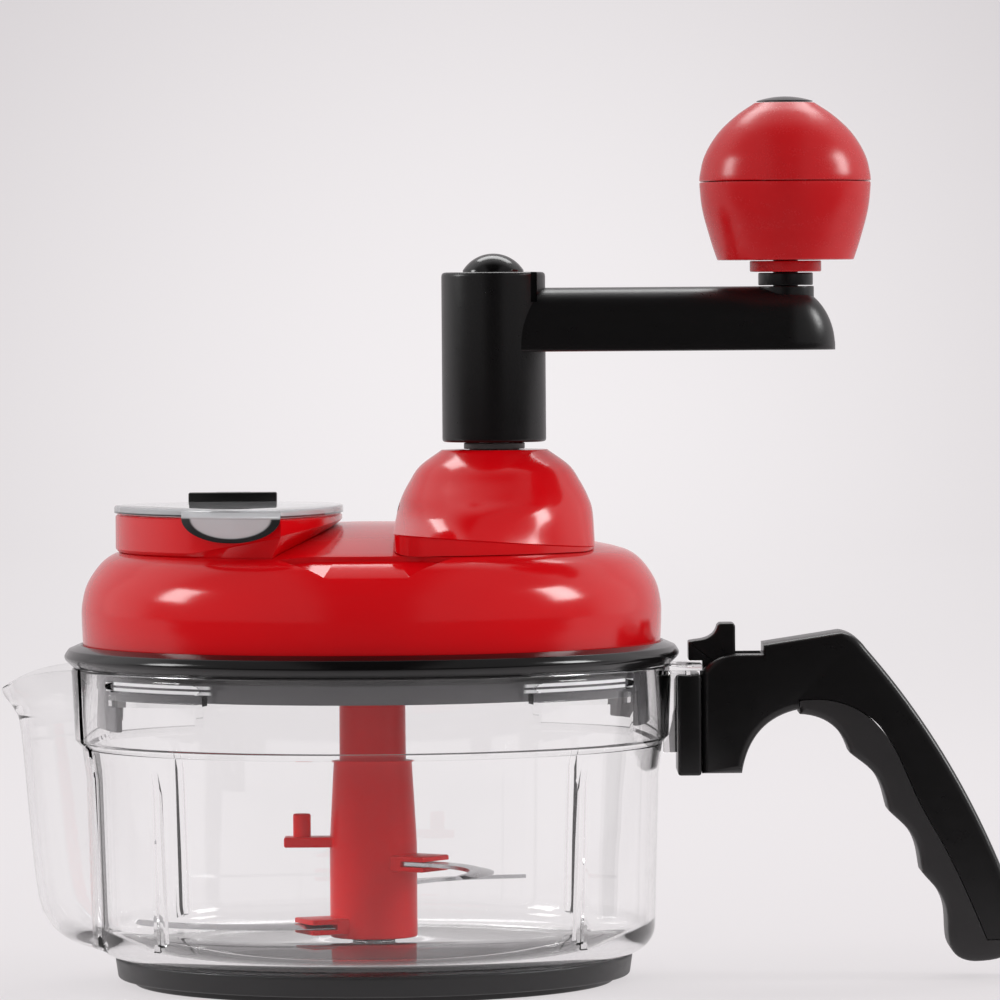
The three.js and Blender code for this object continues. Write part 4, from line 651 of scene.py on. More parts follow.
# four bars along the collar over the ramps' angles, their ends drawn in by some amount
def collarBars(name, inner, outer, bottom, top, rise, shrink):
    b = bowl
    bars = []
    for centre, mirror in ((180, 1), (180, -1), (0, 1), (0, -1)):
        turns, sections = [], []
        for share in spaced(0, 1, b.rampSteps):
            less = 0 if 0 < share < 1 else shrink
            low, high = bottom + rise * share + less, top + rise * share - less
            turn = b.rampStart + (b.rampEnd - b.rampStart) * share
            turns.append(radians(centre + mirror * turn))
            sections.append([(outer, low), (outer, high), (inner, high), (inner, low)])
        bars.append(arcBar(name, turns, sections))
    return bars


def bowlWall(inset, fillet):
    b = bowl
    low, corner = b.low - inset, b.corner
    turn = arc(low - corner, floorZ + inset + corner, corner, -pi / 2, 0, b.cornerSteps)
    return [tuple(p) for p in turn] + [
        (b.belly - inset, b.bellyZ), (b.ledge - inset, b.ledgeZ, fillet),
        (b.collar - inset, b.collarZ, fillet), (b.rim - inset, b.rimZ, 0.5)]


def spoutBody(name, inset):
    s = spout
    root = sqrt(bowl.low ** 2 - s.rootHalf ** 2) - s.rootInset
    reaches = through(s.reach, s.levels)
    rings = []
    for i, (height, reach) in enumerate(reaches):
        lift = inset if i == 0 else overrun if i == len(reaches) - 1 and inset else 0
        half, length = s.rootHalf - inset, reach - inset - root
        rings.append([(-root - length * max(0, sin(a)) ** s.flareShare, half * cos(a), height + lift)
                      for a in spaced(0, pi, s.steps)])
    return lofted(name, rings)


def makeSpout():
    s, b = spout, bowl
    inner = turned("inner", [(0, 0)] + bowlWall(b.wall / 2, 0.5)[1:] + [(0, b.rimZ)])
    root, reach = b.rim - b.wall, s.reach[-1][1] + overrun
    slope = bend((-root, b.rimZ), (-root - reach / 6, b.rimZ), (-reach, s.lipTop - s.lipDrop))
    above = b.rimZ + 2 * overrun
    mouth = slab("mouth", slope + [(-reach - overrun, above), (-root, above)], 4 * s.rootHalf)
    return carved(spoutBody("spout", 0), spoutBody("spoutHollow", b.wall), inner, mouth)


# the web of the handle's bracket and the wider bar at its end, or the slots for them
def bracketBars(near, bottom, top, grow=0):
    k = bracket
    webHalf, capHalf = k.webHalf + grow, k.capHalf + grow
    web = block("web", near, k.web + gap - grow, -webHalf, webHalf, bottom, top)
    return [web, block("cap", k.web - grow, k.cap + grow, -capHalf, capHalf, bottom, top)]


def makeBowl():
    b, k = bowl, bracket
    foot, footZ = base.recess - gap, base.floor + gap
    inside = floorZ + b.wall
    bossTop = inside + b.bossHeight
    bowlBody = turned("bowlBody", [
        (0, floorZ), (foot - b.footWall, floorZ, 0.5), (foot - b.footWall, footZ, 0.6),
        (foot, footZ, 0.6), (foot, floorZ, 0.5)] + bowlWall(0, b.edge)
        + bowlWall(b.wall, b.edge)[::-1] + [
        (b.boss, inside, 0.8), (b.boss, bossTop, 0.6), (0, bossTop)])
    hollow = turned("hollow", [(0, inside)] + bowlWall(b.wall, 0)
                    + [(b.rim - b.wall, b.rimZ + overrun), (0, b.rimZ + overrun)])
    wall = b.belly - b.wall / 2
    rib = slab("rib", [(wall, b.ribLow), (wall, b.ribHigh), (wall - b.ribDepth, b.ribHigh - b.ribTop),
                       (wall - b.ribDepth - b.wall, b.ribLow + b.ribDepth)], b.ribWidth)
    ribTurns = [b.ribAngle, 180 - b.ribAngle, 180 + b.ribAngle, -b.ribAngle]
    ribs = repeated("ribs", rib, [(0, 0, 0)] * 4, ribTurns)
    rail = block("flange", k.root, k.flange, -k.flangeHalf, k.flangeHalf, k.flangeZ, b.rimZ)
    bars = bracketBars(k.root, k.bottom, k.flangeZ + gap)
    rail = carved(softened(combined(rail, *bars), b.webEdge), hollow)
    outer = b.rim - b.wall / 2
    ramps = collarBars("ramp", outer - b.wall / 2 - b.rampDepth, outer, b.rampZ, b.rampZ + b.rampHeight,
                       b.wall / 2, b.rampShrink)
    combined(bowlBody, ribs, *ramps, makeSpout(), rail)
    window = block("window", -b.ledge - b.wall / 2, -b.low + 2 * b.wall + b.corner, -spout.windowHalf,
                   spout.windowHalf, spout.windowLow, spout.windowHigh)
    pinHole = disc("pinHole", b.pin + gap, floorZ + b.pinDepth - gap, bossTop + overrun)
    pockets = collarBars(
        "pocket", b.pocketIn, b.rim + overrun, b.pocketZ, b.pocketZ + b.pocketHeight, 0, b.pocketShrink)
    carved(bowlBody, softened(window, b.windowEdge, segments=3), pinHole, *pockets)
    placed(bowlBody, "bowl_unit", ["bowl"], clearBody, 28)
    pin = disc("pivotPin", b.pin, floorZ + b.pinDepth, b.pinTop, edge=b.pinEdge)
    placed(pin, "bowl_unit", ["pivot_pin"], plainSteel)


makeBowl()

# blades

stem = Settings(
    bottom=14.6, hub=14.2, hubTop=45, step=12.7, stepZ=72, neck=10.8, top=99.6, hex=6.1, hexTop=112.6,
    flange=13.6, armZ=43.9, armThick=3.3, arm=29, armHalf=4.5, peg=2.9, pegX=23.2, pegHeight=7.5,
    lug=25, lugHalf=7.5, lugHeight=5, lugEdge=0.6, edge=0.8, armEdge=0.5, bore=2.9,
)
blade = Settings(
    thick=1.2, root=16.5, tip=79, rootWide=13, tipWide=5, grind=4.5, grindShare=1.2, edge=0.2,
    sweep=34, sweepPower=1.6, leanShare=0.7, widthPower=1.4, pointStart=0.93, pointCut=0.55,
    names=["bladeLow", "bladeMiddle", "bladeHigh"],
    nodes=["blade_lower", "blade_middle", "blade_upper"],
    heights=[18.2, 28.4, 38.6], turns=[205, 85, 325], steps=40,
)


def makeStem():
    s = stem
    body = turned("bladeStem", [
        (0, s.bottom), (s.hub, s.bottom, 0.8), (s.hub, s.hubTop, 1.5), (s.step, s.stepZ, 0.2),
        (s.flange, s.stepZ, 0.15), (s.flange, s.stepZ + gap, 0.15), (s.neck, s.stepZ + gap, 0.3),
        (s.neck, s.top, 0.8), (0, s.top)], shared.midSides)
    hexEnd = disc("hexEnd", s.hex, s.top - gap, s.hexTop, sides=6)
    arm = slab("arm", rounded([(-s.arm, s.armZ, s.edge), (0, s.armZ), (0, s.armZ + s.armThick),
                               (-s.arm, s.armZ + s.armThick, s.edge)], True), 2 * s.armHalf, s.armEdge)
    peg = disc("peg", s.peg, s.armZ, s.armZ + s.armThick + s.pegHeight, -s.pegX, edge=s.edge)
    lugs, slots = [], []
    for height, angle in zip(blade.heights, blade.turns):
        z = height + (blade.thick - s.lugHeight) / 2
        lug = block("lug", 0, s.lug, -s.lugHalf, s.lugHalf, z, z + s.lugHeight)
        lugs.append(moved(softened(lug, s.lugEdge), turn=angle))
        side = s.lugHalf + overrun
        slot = block("slot", blade.root - gap, s.lug + overrun, -side, side, height - gap,
                     height + blade.thick + gap)
        slots.append(moved(slot, turn=angle))
    bore = disc("bore", s.bore, s.bottom - overrun, bowl.pinTop + 2 * gap)
    carved(combined(body, hexEnd, arm, peg, *lugs), bore, *slots)
    placed(body, "blades", ["blade_stem"], stemRed)


def makeBlade(name, height, angle):
    b = blade
    rings = []
    for t in spaced(0, 1, b.steps):
        radius = b.root + (b.tip - b.root) * t
        sweep = radians(angle - b.sweep * t ** b.sweepPower)
        lean = sweep - radians(b.sweep) * b.leanShare * t
        half = (b.rootWide + (b.tipWide - b.rootWide) * t ** b.widthPower) / 2
        half *= 1 - b.pointCut * max(0, (t - b.pointStart) / (1 - b.pointStart)) ** 2
        grind = min(b.grind, b.grindShare * half)
        section = [(-half, 0), (half, 0), (half, b.edge), (half - grind, b.thick), (-half, b.thick)]
        rings.append([(radius * cos(sweep) - sin(lean) * v, radius * sin(sweep) + cos(lean) * v,
                       height + z) for v, z in section])
    return lofted(name, rings)


makeStem()
for name, node, height, angle in zip(blade.names, blade.nodes, blade.heights, blade.turns):
    placed(makeBlade(name, height, angle), "blades", [node], bladeSteel, 20)

# handle

handle = Settings(
    thick=26, edge=2.3, near=106.9, bottom=67.5,
    arch=[(119.8, 67.5), (122.6, 85), (138.6, 88.1)], notch=1.6,
    tip=[(186.3, 14.4), (186.6, 6.2), (195, 5.9)],
    heel=[(195, 5.9), (205.5, 6), (209, 10.6)],
    back=[(209.8, 20), (192.7, 70.2), (160.1, 107.8)],
    crest=[(160.1, 107.8), (157, 112.4), (152, 113.1)],
    step=(126.9, 109.3), deck=106.2,
    shoulder=[(118, 106.2), (110, 105.6), (106.9, 100.3)],
    ridges=[(154.8, 73.8), (167.3, 54.9), (178, 34.8), (186.3, 14.4)],
    firstPull=(151, 86), grooveDepth=2.9, groovePower=1.15, grooveSteps=14,
    seam=[(137.2, 90.8), (145.1, 91.2), (151.6, 90.1), (158, 87.4), (164.5, 82), (169.3, 74.8),
          (172.7, 67.5), (176.5, 58.8), (180.5, 51.2), (184.6, 44.1), (190.1, 33), (195.5, 20.7),
          (198.8, 12.8), (214.9, 13.4)],
    mountNear=99, mountFar=106.6, mountLow=67, mountHigh=99.5, mountHalf=15,
    mountEdge=0.9, screwHeights=[78, 92], screwLength=13,
    pullSteps=14, tipSteps=10, heelSteps=8,
    backSteps=26, crestSteps=8, shoulderSteps=10, seamSteps=8,
)
latch = Settings(
    half=7, nose=102.8, noseLow=103.9, noseHigh=110, front=107.4, swell=105, hump=112.2, humpTop=115.9,
    back=118, bottom=98, travel=7.5, slotEnd=126.4, spring=2.4, wire=0.8, turns=4, slack=0.4,
    humpSteps=14, edge=0.7,
)
screw = Settings(radius=1.6, head=3, headHeight=1.8, edge=0.35)


def gripEdge():
    h = handle
    start = (h.arch[2][0], h.arch[2][1] - h.notch)
    points = bend(start, h.firstPull, h.ridges[0], h.pullSteps)
    for a, b in zip(h.ridges, h.ridges[1:]):
        a, along = Vector(a), Vector(b) - Vector(a)
        out = Vector((-along.y, along.x)).normalized()
        for t in spaced(0, 1, h.grooveSteps)[1:]:
            lift = sin(pi * t) ** h.groovePower if t < 1 else 0
            points.append(a + along * t + out * h.grooveDepth * lift)
    return points


def handleOutline():
    h = handle
    line = [Vector((h.near, h.bottom))] + bend(*h.arch) + gripEdge()
    line += bend(*h.tip, h.tipSteps)[1:] + bend(*h.heel, h.heelSteps)[1:]
    line += bend(*h.back, h.backSteps) + bend(*h.crest, h.crestSteps)[1:]
    line += [Vector(h.step), Vector((h.step[0], h.deck))]
    return line + bend(*h.shoulder, h.shoulderSteps)


def gripRegion(name, shift):
    h = handle
    out = shifted(through(h.seam[:-1], h.seamSteps) + [Vector(h.seam[-1])], shift)
    left = h.arch[2][0] - shift
    kept = [p for p in out if p.x > left]
    around = [Vector((h.seam[-1][0], -overrun)), Vector((left, -overrun)), Vector((left, out[0].y))]
    return slab(name, kept + around, 2 * h.thick)


def latchSpot():
    return {"z": latch.bottom + latch.spring + latch.wire, "start": latch.back + gap,
            "end": latch.slotEnd + latch.travel}


def screwShape(name, grow):
    s, length = screw, handle.screwLength
    head = disc(name, s.head + grow, -overrun if grow else 0, s.headHeight + grow)
    return combined(head, disc("shank", s.radius + grow, 0, length + grow))


def screwHoles(face):
    return [moved(screwShape("screwHole", gap), face, 0, z, 90, "Y") for z in handle.screwHeights]


def makeHandle():
    h, l, k = handle, latch, bracket
    face = k.cap + 2 * gap
    outline = handleOutline()
    body = slab("handleShell", outline, h.thick, h.edge)
    grip = slab("gripPad", outline, h.thick, h.edge)
    half = l.half + l.slack
    slot = block(
        "slot", h.near - overrun, l.slotEnd, -half, half, l.bottom - l.slack, h.step[1] + overrun)
    spot = latchSpot()
    pocket = disc("pocket", l.spring + l.wire + l.slack, 0, spot["end"] - spot["start"] + gap)
    moved(pocket, spot["start"], 0, spot["z"], 90, "Y")
    carved(tidied(body), gripRegion("seamCut", gap), slot, pocket, *screwHoles(face))
    combined(tidied(grip), gripRegion("gripSide", 0), operation="INTERSECT")
    placed(body, "bowl_unit", ["handle_body"], blackPlastic, 26)
    placed(grip, "bowl_unit", ["grip_insert"], softGrip, 26)
    mount = block(
        "handleMount", h.mountNear, h.mountFar, -h.mountHalf, h.mountHalf, h.mountLow, h.mountHigh)
    softened(mount, h.mountEdge, segments=3)
    bars = bracketBars(h.mountNear - overrun, k.bottom - gap, h.mountHigh + overrun, gap)
    carved(mount, *bars, *screwHoles(face))
    placed(mount, "bowl_unit", ["handle_mount"], blackPlastic)
    one = moved(screwShape("screw", 0), turn=90, axis="Y")
    spots = [(face, 0, z) for z in h.screwHeights]
    screws = repeated("handleScrews", one, spots, [0, 0])
    placed(screws, "bowl_unit", ["handle_screw_1", "handle_screw_2"], plainSteel)


def makeLatch():
    l = latch
    w = l.wire
    hump = bend((l.hump, l.humpTop - w), (l.hump - w, l.noseHigh + w), (l.swell, l.noseHigh + w / 2),
                l.humpSteps)
    outline = rounded([(l.front, l.bottom, 0.6), (l.back, l.bottom, 0.6), (l.back, l.humpTop, 1.2),
                       (l.hump + w, l.humpTop, 1)] + [tuple(p) for p in hump] + [
        (l.nose, l.noseHigh, 0.6), (l.nose, l.noseLow, 0.6), (l.front, l.noseLow, 0.4)], True)
    tab = slab("releaseTab", outline, 2 * l.half, l.edge)
    placed(tab, "latch", ["release_latch"], blackPlastic)
    spot = latchSpot()
    length = spot["end"] - spot["start"]
    wireCoil = coil("latchCoil", l.spring, w / 2, 0, length, l.turns)
    moved(wireCoil, spot["start"], 0, spot["z"], 90, "Y")
    placed(wireCoil, "bowl_unit", ["latch_spring"], plainSteel)
    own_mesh(wireCoil)


makeHandle()
makeLatch()
print("bowl, blades and handle made")

# lid

lid = Settings(
    wall=2.4, bottom=107, skirtLow=94.5, skirt=90.6, skirtWall=2,
    bead=100.4, beadZ=106.3, crest=94.8, crestZ=110.6, shoulder=98.6,
    shoulderZ=109, seat=93.7,
    side=[(93.7, 107), (93.9, 112), (94.15, 118), (94, 123.4), (92.3, 130), (88.2, 136.2),
          (84, 139.5), (79, 141.2)],
    crown=149.5, crownFrom=79, crownSteps=26, sideSteps=7,
    lugLow=84, lugOverlap=2, lugTurns=[201, -13, 21, 167], lugSpan=14, lugSteps=12, lugEdge=0.5,
    boss=6, bossZ=131, post=4.2, postRing=82, postTurns=[15, 72, 140, 262],
    trough=[(-12.4, -92), (12.2, -92), (13, -88.6), (21.6, -82.9), (27, -78), (-28, -78),
            (-23, -82.6), (-13, -88.6)],
    troughLow=(91, 133.9), troughHigh=(79.8, 139.3),
)


# the shallow recess in the lid's shoulder between the chute and the dome
def makeTrough():
    l = lid
    out, inn = l.troughLow, l.troughHigh
    top = l.crown + overrun
    floor = turned("trough", [
        inn, out, (out[0] + overrun, out[1]), (out[0] + overrun, top), (inn[0], top)], shared.fineSides)
    return combined(
        floor, raised("troughPlan", l.trough, l.bottom, top + overrun), operation="INTERSECT")


dome = Settings(
    wall=2.4, radius=32.1, reach=81.8, corner=8, top=173.2, topRadius=17, creaseLeft=147.9,
    creaseRight=142.3, creaseIn=0.45, well=24, wellTop=148.2, cavityTop=162.2, cavityRadius=19.3,
    neckWall=3, steps=6, easeSteps=20, backSteps=48, frontSteps=32, cornerSteps=8, cavitySides=72,
    fallShares=[0, 0.2, 0.4, 0.6, 0.8], spreadShares=[0, 0.457, 0.689, 0.861, 0.96],
    frontShares=[0, 0.08, 0.22, 0.45, 0.74],
)
bush = Settings(body=8, flange=9.8, top=175.4, bore=5.4)
feed = Settings(
    y=-10, wall=2.3, edge=0.5, steps=14, top=152.7, flareLow=140, edgeLow=141.4, edgeHigh=150.8,
    edgeStart=-56, pull=26, earDepth=4, high=Settings(left=-82.5, right=-9.1, nose=-27, reach=83.1),
    low=Settings(left=-80.9, right=-22.1, nose=-30, reach=81.5),
)
coverPlate = Settings(bottom=104.6, thick=2.3, screwLength=13)
hinge = Settings(x=-45.8, y=31.7, z=156.2, sides=32, pin=1.1, knuckle=2.4, knuckleHalf=6, ear=13.5,
                 block=14.5, blockDepth=5.4, blockGap=3.6, edge=0.5, low=156, high=158.7)
flap = Settings(
    low=153, high=155.7, edge=0.9, over=0.4, thick=1.8, lipHalf=16, lipX=-43, drop=9.5, flare=4.2,
    holeHalf=5.8, holeDepth=2.6, holeY=-62, holeSides=64, seatLow=153.8, seatIn=1.2, slack=0.4,
    # the last rows give the cover's finish: its milky tint, partly a painted reflection, and the dark
    # colour and widths of its painted shade lines
    edgeSteps=4, lipSteps=40, milk=(0.7, 0.71, 0.72), milkDim=0.97, dark=(0.012, 0.012, 0.013),
    clarity=0.55, roughness=0.05, shadow=(0.5, 0.51, 0.52), border=1, lipStart=(0.02, -0.06),
    lipLine=(0.6, 0.72), uprightFrom=(0.3, 0.7), lowLine=(1, 0.6), holeLine=(1, 0.9),
)


def crownLine(inward):
    l = lid
    fall = l.crown - l.side[-1][1]
    spots = [l.crownFrom * (1 - i / l.crownSteps) for i in range(1, l.crownSteps)]
    return [(r, l.crown - fall * (r / l.crownFrom) ** 2 - inward) for r in spots]


def lidOutside(inward):
    line = through(lid.side, lid.sideSteps)
    outline = [line[0] - Vector((inward, 0))] + shifted(line, inward)[1:]
    return [tuple(p) for p in outline] + crownLine(inward)


def lidBody(name, inward):
    top = (0, lid.crown - inward)
    return turned(name, [(0, lid.bottom)] + lidOutside(inward) + [top], shared.wideSides)


def feedPlan(size, steps):
    f = feed
    left, right, nose, reach = size.left, size.right, size.nose, size.reach
    radius = (right - left) / 2
    start = atan2(-sqrt(reach ** 2 - left ** 2), left)
    depth = -sqrt(reach ** 2 - nose ** 2)
    line = arc(left + radius, f.y, radius, 0, pi, 3 * steps)
    line += arc(0, 0, reach, start, atan2(depth, nose), 2 * steps)
    return line + bend((nose, depth), (right, depth + f.pull), (right, f.y), 2 * steps)[1:-1]


def feedRing(height, inward, size="high"):
    return [(p.x, p.y, height) for p in drawnIn(feedPlan(feed[size], feed.steps), inward)]


# the mouth's lower edge, level at the left and climbing toward the dome
def feedEdge(inward, drop=0):
    f = feed
    right = f.high.right
    out = []
    for x, y, z in feedRing(0, inward):
        share = min(1, max(0, (x - f.edgeStart) / (right - f.edgeStart)))
        out.append((x, y, f.edgeLow + (f.edgeHigh - f.edgeLow) * share - drop))
    return out


def feedBody(name, inward, bottom, top, edge=0):
    f = feed
    rings = [feedRing(bottom, inward, "low"), feedRing(f.flareLow, inward, "low")]
    if edge:
        rings += [feedEdge(inward + edge, edge / 2), feedEdge(inward, -edge / 2)]
        rings += [feedRing(top - edge, inward), feedRing(top, inward + edge)]
    else:
        rings += [feedEdge(inward), feedRing(top, inward)]
    return lofted(name, rings)


def postSpots(z):
    return [(*polar(lid.postRing, radians(a)), z) for a in lid.postTurns]


def makeLidRim():
    l = lid
    inner = l.skirt - l.skirtWall
    top = l.bottom - gap
    rim = turned("lidRim", [
        (inner, l.skirtLow, 0.5), (l.skirt, l.skirtLow, 0.5), (l.skirt, bowl.rimZ + gap, 0.3),
        (bowl.rim - gap, bowl.rimZ + gap, 1.2), (l.bead, l.beadZ, 2.2), (l.shoulder, l.shoulderZ, 1.2),
        (l.crest, l.crestZ, 0.5), (l.seat + gap, l.shoulderZ, 0.3), (l.seat + gap, top, 0.2),
        (inner, top, 0.4)], shared.wideSides)
    lugTop = l.skirtLow + l.lugOverlap
    section = [(inner, l.lugLow), (l.skirt, l.lugLow), (l.skirt, lugTop), (inner, lugTop)]
    for turn in l.lugTurns:
        turns = spaced(turn - l.lugSpan / 2, turn + l.lugSpan / 2, l.lugSteps)
        lug = arcBar("lug", [radians(a) for a in turns], [section] * len(turns))
        combined(rim, softened(lug, l.lugEdge))
    placed(rim, "lid", ["lid_rim"], rimBlack, 30)


def makeLidShell():
    l = lid
    outside = lidOutside(0)
    skin = turned("lidShell", outside + [(0, l.crown), (0, l.crown - l.wall)] + lidOutside(l.wall)[::-1]
                  + [outside[0]], shared.wideSides, closed=False)
    low, high = coverPlate.bottom + coverPlate.thick + gap, l.side[-2][1] - l.wall / 2
    deep = l.bottom + coverPlate.screwLength
    posts = [disc("post", l.post, low, high, x, y) for x, y, z in postSpots(0)]
    holes = [
        disc("hole", screw.radius + gap, l.bottom - overrun, deep, x, y) for x, y, z in postSpots(0)]
    boss = disc("boss", l.boss, l.bossZ, l.crown - l.wall / 2)
    bossHole = disc("bossHole", bowl.pin + gap, l.bossZ - overrun, l.crown - 2 * l.wall)
    well = disc("well", dome.well, l.bottom - overrun, l.crown + overrun, *crankPlace)
    room = feedBody("room", -gap, l.bottom - overrun, l.crown + overrun)
    combined(skin, boss, *posts)
    carved(skin, makeTrough(), room, well, bossHole, *holes)
    placed(skin, "lid", ["lid_shell"], redPlastic, 30)


def bandPlan(inward):
    d = dome
    steps = d.cornerSteps
    x, y = crankPlace
    r, reach = d.radius - inward, d.reach - inward
    left, right = x - r, x + r
    edgeY = {side: -sqrt(reach ** 2 - side ** 2) for side in (left, right)}
    turn = d.corner / reach
    start = atan2(edgeY[left], left) + turn
    end = atan2(edgeY[right], right) - turn
    line = arc(x, y, r, 0, pi, d.backSteps)
    line += bend((left, edgeY[left] + d.corner), (left, edgeY[left]), polar(reach, start), steps)
    line += arc(0, 0, reach, start, end, d.frontSteps)[1:-1]
    return line + bend(
        polar(reach, end), (right, edgeY[right]), (right, edgeY[right] + d.corner), steps)


def creaseHeight(x):
    d = dome
    share = (x - crankPlace[0] + d.radius) / (2 * d.radius)
    return d.creaseLeft + (d.creaseRight - d.creaseLeft) * share


# the dome's sections: circles whose front comes out to the band's plan by a growing share
def domeRings():
    d = dome
    x, y = crankPlace
    plan = bandPlan(0)
    crease = [Vector((p.x, p.y, creaseHeight(p.x))) for p in plan]
    back = d.backSteps
    front = len(plan) - back
    columns = []
    for i, p in enumerate(plan):
        past = i - back
        angle = pi * i / back if past <= 0 else pi + pi * past / front
        near = min(1, max(0, min(past, front - past)) / d.easeSteps)
        column = []
        for fall, spread, out in zip(d.fallShares, d.spreadShares, d.frontShares):
            radius = d.topRadius + (d.radius - d.topRadius) * spread
            cx, cy = polar(radius, angle, x, y)
            share = out * near * near * (3 - 2 * near)
            height = d.top + (d.creaseLeft - d.top) * fall
            column.append(Vector((cx + (p.x - cx) * share, cy + (p.y - cy) * share, height)))
        columns.append(through(column + [crease[i]], d.steps))
    return [[tuple(column[row]) for column in columns] for row in range(len(columns[0]))]


def makeDome():
    d = dome
    x, y = crankPlace
    band = bandPlan(d.creaseIn)
    ledge = [(p.x, p.y, creaseHeight(p.x) - d.creaseIn) for p in band]
    foot = [(p.x, p.y, lid.bottom + overrun) for p in band]
    body = lofted("gearDome", domeRings() + [ledge, foot])
    cavity = turned("cavity", [
        (0, lid.bottom), (d.well, lid.bottom), (d.well, d.wellTop), (d.cavityRadius, d.cavityTop),
        (bush.body + d.neckWall, d.cavityTop + d.wall), (0, d.cavityTop + d.wall)], d.cavitySides, x, y)
    bore = disc("bore", bush.body + gap, d.cavityTop - overrun, d.top + overrun, x, y)
    carved(body, lidBody("under", -gap), cavity, bore)
    placed(body, "lid", ["gear_dome"], redPlastic, 30)
    b = bush
    ring = turned("crankBushing", [
        (b.bore, d.cavityTop), (b.body, d.cavityTop, 0.4),
        (b.body, d.top + gap, 0.2), (b.flange, d.top + gap, 0.3),
        (b.flange, b.top, 0.4), (b.bore, b.top, 0.3)], shared.midSides, x, y)
    placed(ring, "lid", ["crank_bushing"], bushFinish)


def hingeRound(name, radius, half, x=hinge.x):
    return moved(disc(name, radius, -half, half, sides=hinge.sides), x, hinge.y, hinge.z, 90, "Y")


def makeChute():
    f, h = feed, hinge
    bottom = coverPlate.bottom + coverPlate.thick + gap
    tower = feedBody("feedChute", 0, bottom, f.top, f.edge)
    inner = feedBody("chuteHollow", f.wall, bottom - overrun, f.top + overrun)
    carved(tower, inner, keep=True)
    room = lofted("coverRoom", [feedRing(z, -flap.over - flap.slack) for z in (f.top, h.z + overrun)])
    back = f.y + (f.high.right - f.high.left) / 2
    ears = []
    for side in (-1, 1):
        near, far = h.knuckleHalf + gap, h.ear
        x, half = h.x + side * (near + far) / 2, (far - near) / 2
        web = block("ear", x - half, x + half, back - 2 * f.wall, h.y + h.knuckle, f.top - f.earDepth,
                    flap.high - gap)
        end = hingeRound("earRound", h.knuckle, half, x)
        ears.append(carved(combined(web, end), room, inner, keep=True))
    combined(tower, *ears)
    carved(tower, hingeRound("pinHole", h.pin + gap, h.ear + overrun))
    for tool in (room, inner):
        bpy.data.objects.remove(tool)
    placed(tower, "lid", ["feed_chute"], redPlastic, 30)
    pin = hingeRound("hingePin", h.pin, h.ear)
    placed(pin, "lid", ["cover_hinge_pin"], plainSteel)


def makeCoverScrews():
    s, c = screw, coverPlate
    low = c.bottom - gap
    head = disc("coverScrew", s.head, -s.headHeight, 0, edge=s.edge)
    shank = disc("shank", s.radius, -gap, lid.bottom + c.screwLength - gap - low)
    half = s.head + overrun
    slots = [block("cross", -half, half, -gap, gap, -s.headHeight - overrun, -s.headHeight / 2)]
    slots.append(moved(copyOf(slots[0]), turn=90))
    carved(combined(head, shank), *slots)
    screws = repeated("coverScrews", head, postSpots(low), lid.postTurns)
    placed(screws, "lid", ["cover_screw_" + str(i + 1) for i in range(4)], plainSteel)


# smoky plastic, milky inside, the milkiness partly a painted reflection of the pale room;
# dark along the cover's lower edge, round its tongue and round its hole: painted shade for clear
# plastic's dark edges
def coverFinish():
    c = flap
    finish = Finish("smokyBody")
    smear = finish.noise(surface.clearSmear, 3.0)
    spot = finish.spot()
    root = c.high - c.edge - c.thick
    across = (spot["X"] - c.lipX) / c.lipHalf
    down = (spot["Z"] - root) / (c.drop - c.thick)
    onLip = finish.step(down, *c.lipStart)
    lipLine = finish.step(across * across + down * down, *c.lipLine) * onLip
    upright = 1 - finish.step(abs(finish.parts(finish.normal)["Z"]), *c.uprightFrom)
    lowLine = finish.step(spot["Z"] - c.low, *c.lowLine) * upright * (1 - onLip)
    deep = (spot["Y"] - c.holeY) / (c.holeDepth + c.border)
    wide = (spot["X"] - c.lipX) / (c.holeHalf + c.border)
    holeLine = finish.step(deep * deep + wide * wide, *c.holeLine)
    # dark lines along the cover's edges and round its hole: painted shade for the dark edges of clear
    # plastic
    dark = highest(lipLine, lowLine, holeLine)
    # a milky tint, partly the plate's own smoky tint and partly a painted reflection of the pale room
    milk = finish.blend(smear, tone(*c.milk), tone(*c.milk, c.milkDim))
    body = finish.shader({
        "Base Color": finish.blend(dark, milk, tone(*c.dark)), "IOR": surface.clearIndex,
        "Roughness": (smear - 0.5) * surface.clearGloss + c.roughness,
        "Transmission Weight": c.clarity})
    return finish.closeClear(body, c.shadow)


